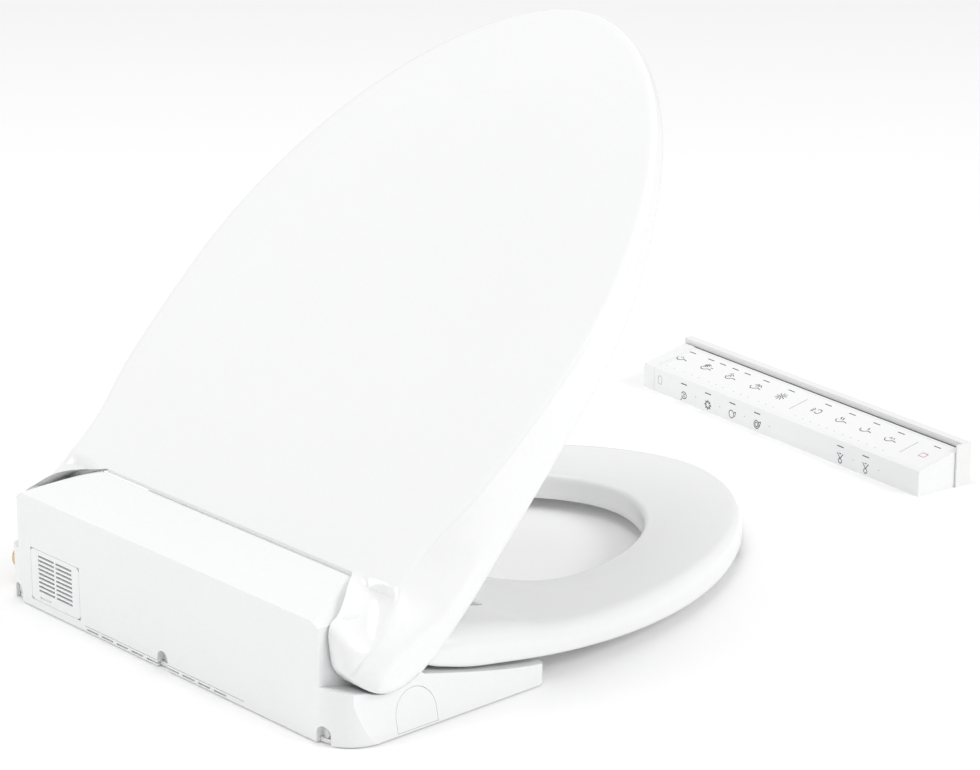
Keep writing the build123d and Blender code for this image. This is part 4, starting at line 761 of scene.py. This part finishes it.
SYMBOLS = {
    "deodorize": [LAP, *fan_of_lines(1.0, -0.5, 1.2, 2.6, 200, 320, 3)],
    "rear_wash": [LAP, *fan_of_lines(4.5, -6.5, 2.0, 6.5, 95, 165, 5), [(-7, -2.2), (-4, -2.2)]],
    "soft_wash": [LAP, *fan_of_lines(4.5, -6.0, 3.0, 6.5, 100, 150, 3),
                  arc(4.5, -6.0, 1.4, 60, 200)],
    "front_wash": [LAP, *fan_of_lines(-1.5, -6.5, 2.0, 6.0, 40, 130, 4)],
    "massage": [*fan_of_lines(0, -1, 2.2, 5.6, 0, 320, 9), arc(0, -1, 1.2, 0, 360)],
    "pressure": [arc(-1.5, 0, 2.8, 30, 330, 1.2), *fan_of_lines(1.5, 0, 2.5, 5.2, -35, 35, 4)],
    "water_heat": [LAP, wave(0, -4.5, 3.6), wave(2.8, -4.8, 3.6)],
    "seat_heat": [LAP, wave(-1.5, -4.2, 3.2)],
    "dry": [LAP, *fan_of_lines(0, -6.5, 3.2, 5.6, 60, 120, 3)],
    "eco": [arc(0, 0, 3.4, 20, 340, 0.9), *fan_of_lines(0, 0, 0.6, 2.2, 45, 315, 4),
            [(2, 3.6), (4.5, 5)]],
    "burst": [*fan_of_lines(0, 0, 1.6, 4.6, 0, 315, 8), arc(0, 0, 3.2, 0, 360)],
    "seat": [arc(0.6, 0, 3.2, 0, 360, 1.15), arc(0.6, 0, 1.8, 0, 360, 1.15),
             [(-4.8, -3.6), (-1.5, -2)], [(-4.8, -3.6), (-3.2, 1.2)]],
    "lid": [arc(1, -0.3, 3.2, 0, 360, 1.1),
            [(-4.6, -3.4), (-1.4, -1.8), (-3.2, 1.4), (-4.6, -3.4)]],
    "user": [arc(0, 2.4, 2.0, 0, 360), softened([(-3.6, -4.2), (-1.2, -1.2), (0, 0.2), (1.2, -1.2),
                                                (3.6, -4.2)]), [(-1.2, -4.0), (1.2, -4.0)]],
}


def bank(start, pitch, names):
    """Evenly spaced symbols along the remote, from the battery cap's end."""
    return [(start + pitch * i, name) for i, name in enumerate(names)]


TOP_SYMBOLS = bank(330.0, -33.0, ("deodorize", "rear_wash", "soft_wash", "front_wash", "massage"))
TOP_SYMBOLS += bank(151.0, -30.0, ("pressure", "water_heat", "seat_heat", "dry"))
FRONT_SYMBOLS = bank(297.0, -32.5, ("eco", "burst", "lid", "seat"))
FRONT_SYMBOLS += bank(94.0, -31.0, ("user", "user"))
TWO_DASHES = ("rear_wash", "soft_wash")     # symbols with a longer label
TOP_ROW, TOP_DOT_ROW, TOP_TICK_ROW = -24.5, -8.4, -37.2
FRONT_ROW, FRONT_DOT_ROW, FRONT_TICK_ROW = 6.5, 9.2, 16.6
STOP_PLACE, POWER_PLACE = (18.0, -21.5), (330.0, 11.8)
DIVIDER_PLACES, DIVIDER_ENDS = (174.5, 38.0), (-14.0, -34.5)
LEVEL_STEP, FRONT_DOT_STEP, DASH_STEP = 9.5, -16.0, 8.0
TICK_HALF = 4.0
DASH_WIDTH, THIN_WIDTH = 0.9, 0.6


def ink_finish(name, colour):
    """Thin flat printing ink."""
    return finish_material(name, colour, tuple(c * 0.8 for c in colour), roughness=0.45,
                           spread=0.05, ripple=0.1, grain=0.1, bump=0.02)


def build_symbols():
    """Printed pictures, dashes and dividers of the remote."""
    top = [ink_line(line, on_top, along, TOP_ROW) for along, name in TOP_SYMBOLS
           for line in SYMBOLS[name]]
    dash = [(-TICK_HALF, 0.0), (TICK_HALF, 0.0)]
    for along, name in [*TOP_SYMBOLS, (STOP_PLACE[0], "stop")]:
        steps = (-DASH_STEP, DASH_STEP) if name in TWO_DASHES else (0.0,)
        top += [ink_line(dash, on_top, along + step, TOP_TICK_ROW, width=DASH_WIDTH)
                for step in steps]
    front = [ink_line(line, on_front, along, FRONT_ROW, -1.0) for along, name in FRONT_SYMBOLS
             for line in SYMBOLS[name]]
    front += [ink_line(dash, on_front, along, FRONT_TICK_ROW, width=DASH_WIDTH)
              for along, _ in FRONT_SYMBOLS]
    ink = ink_finish("dark_ink", (0.035, 0.035, 0.04))
    joined_piece("remote_symbols", top + front, ink, "remote")
    grey = ink_finish("grey_ink", (0.42, 0.42, 0.44))
    lines = [ink_line([(0, end) for end in DIVIDER_ENDS], on_top, along, 0.0, width=THIN_WIDTH)
             for along in DIVIDER_PLACES]
    lines.append(ink_line(TALL_BOX, on_front, *POWER_PLACE, width=THIN_WIDTH))
    joined_piece("remote_dividers", lines, grey, "remote")
    red = ink_finish("red_ink", (0.42, 0.10, 0.10))
    stop = ink_line(SQUARE, on_top, *STOP_PLACE, width=THIN_WIDTH)
    joined_piece("remote_stop_mark", [stop], red, "remote")
    top_dots = [on_top(along + step, TOP_DOT_ROW) for along, _ in TOP_SYMBOLS
                for step in (-LEVEL_STEP, 0.0, LEVEL_STEP)]
    front_dots = [on_front(along + FRONT_DOT_STEP, FRONT_DOT_ROW) for along, _ in FRONT_SYMBOLS]
    slope = atan((REMOTE_BACK_H - REMOTE_FRONT_H) / REMOTE_DEPTH)
    dots = (("remote_top_dots", top_dots, slope), ("remote_front_dots", front_dots, -pi / 2))
    for name, spots, tilt in dots:
        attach(printed_dots(name, spots, tilt, grey), "remote")


def dot_tree():
    """Geometry nodes that put one round dot on every point."""
    tree = bpy.data.node_groups.new("printed_dots", "GeometryNodeTree")
    face = tree.interface
    face.new_socket("Geometry", in_out="INPUT", socket_type="NodeSocketGeometry")
    face.new_socket("Dot Radius", in_out="INPUT", socket_type="NodeSocketFloat")
    face.new_socket("Face Turn", in_out="INPUT", socket_type="NodeSocketRotation")
    face.new_socket("Ink", in_out="INPUT", socket_type="NodeSocketMaterial")
    face.new_socket("Geometry", in_out="OUTPUT", socket_type="NodeSocketGeometry")
    start, end = tree.nodes.new("NodeGroupInput"), tree.nodes.new("NodeGroupOutput")
    disc = tree.nodes.new("GeometryNodeMeshCircle")
    disc.fill_type = "NGON"
    disc.inputs["Vertices"].default_value = 20
    spread = tree.nodes.new("GeometryNodeInstanceOnPoints")
    real = tree.nodes.new("GeometryNodeRealizeInstances")
    paint = tree.nodes.new("GeometryNodeSetMaterial")
    link = tree.links.new
    link(start.outputs["Dot Radius"], disc.inputs["Radius"])
    link(start.outputs["Geometry"], spread.inputs["Points"])
    link(disc.outputs["Mesh"], spread.inputs["Instance"])
    link(start.outputs["Face Turn"], spread.inputs["Rotation"])
    link(spread.outputs["Instances"], real.inputs["Geometry"])
    link(real.outputs["Geometry"], paint.inputs["Geometry"])
    link(start.outputs["Ink"], paint.inputs["Material"])
    link(paint.outputs["Geometry"], end.inputs["Geometry"])
    return tree


def printed_dots(name, spots, tilt, ink):
    """A plain mesh of round dots on one face of the remote."""
    data = bpy.data.meshes.new(name + "_points")
    data.from_pydata(spots, [], [])
    source = bpy.data.objects.new(name + "_points", data)
    bpy.context.scene.collection.objects.link(source)
    tree = bpy.data.node_groups.get("printed_dots") or dot_tree()
    maker = source.modifiers.new("dots", "NODES")
    maker.node_group = tree
    turn = Matrix.Rotation(REMOTE_TURN, 3, "Z") @ Matrix.Rotation(-tilt, 3, "X")
    values = {"Dot Radius": DOT_RADIUS * MM, "Face Turn": turn.to_euler(), "Ink": ink}
    for item in tree.interface.items_tree:
        if item.in_out == "INPUT" and item.name in values:
            maker[item.identifier] = values[item.name]
    graph = bpy.context.evaluated_depsgraph_get()
    mesh = bpy.data.meshes.new_from_object(source.evaluated_get(graph))
    mesh.name = name
    source.modifiers.remove(maker)
    bpy.data.objects.remove(source)
    piece = bpy.data.objects.new(name, mesh)
    bpy.context.scene.collection.objects.link(piece)
    return piece


def build_painted_seam_shade():
    """Painted shade: a dark strip along the remote's back, standing in for the shade in the seam
    beside the dock.
    """
    near, far = (-REMOTE_DEPTH - gap for gap in SEAM_SHADE_GAP)
    ring = [(near, SEAM_SHADE_UNDER), (near, SEAM_SHADE_OVER), (far, SEAM_SHADE_OVER), (far, SEAM_SHADE_UNDER),
            (near, SEAM_SHADE_UNDER)]
    rows = [[remote_place(along, across, height) for across, height in ring]
            for along in (SEAM_SHADE_INSET, REMOTE_LENGTH - SEAM_SHADE_INSET)]
    caps = [[row[0:2], [row[3], row[2]]] for row in rows]
    # painted shade: the dark rubber finish on this strip stands in for the seam's shade
    seam_shade_strip = joined_piece("remote_painted_seam_shade", [rows, *caps], MATERIALS["rubber"], "remote")


# ------------------------------------------------------------------ stage
FLOOR_GLOW = 0.05                      # keeps the far floor as white as the near one
LIGHT_TARGET = Vector((0.1, -0.25, 0.1))
STUDIO_LIGHTS = (
    ("key_softbox", (-2.8, -1.6, 2.2), 1.6, 44.0),
    ("rear_softbox", (1.7, 2.3, 1.7), 1.6, 18.0),
    ("top_softbox", (0.4, 0.2, 3.6), 2.0, 32.0),
)


def add_stage():
    """Pale floor and soft studio light."""
    bpy.ops.mesh.primitive_plane_add(size=30.0)
    floor = bpy.context.object
    floor.name = "floor"
    material = bpy.data.materials.new("floor_pale")
    material.use_nodes = True
    shader = material.node_tree.nodes["Principled BSDF"]
    shader.inputs["Base Color"].default_value = (0.93, 0.93, 0.93, 1)
    shader.inputs["Emission Color"].default_value = (1, 1, 1, 1)
    shader.inputs["Emission Strength"].default_value = FLOOR_GLOW
    shader.inputs["Roughness"].default_value = 0.6
    floor.data.materials.append(material)
    world = bpy.context.scene.world or bpy.data.worlds.new("studio")
    bpy.context.scene.world = world
    world.use_nodes = True
    sky = world.node_tree.nodes["Background"]
    sky.inputs["Color"].default_value = (1, 1, 1, 1)
    sky.inputs["Strength"].default_value = 0.70
    for name, place, size, power in STUDIO_LIGHTS:
        data = bpy.data.lights.new(name, "AREA")
        data.shape = "DISK"
        data.size = size
        data.energy = power
        lamp = bpy.data.objects.new(name, data)
        lamp.location = place
        lamp.rotation_euler = (Vector(place) - LIGHT_TARGET).to_track_quat("Z", "Y").to_euler()
        bpy.context.scene.collection.objects.link(lamp)
    bpy.context.scene.view_settings.view_transform = "Standard"


add_camera()
finish_nodes()
build_lid()
build_ring()
build_symbols()
build_painted_seam_shade()
add_stage()
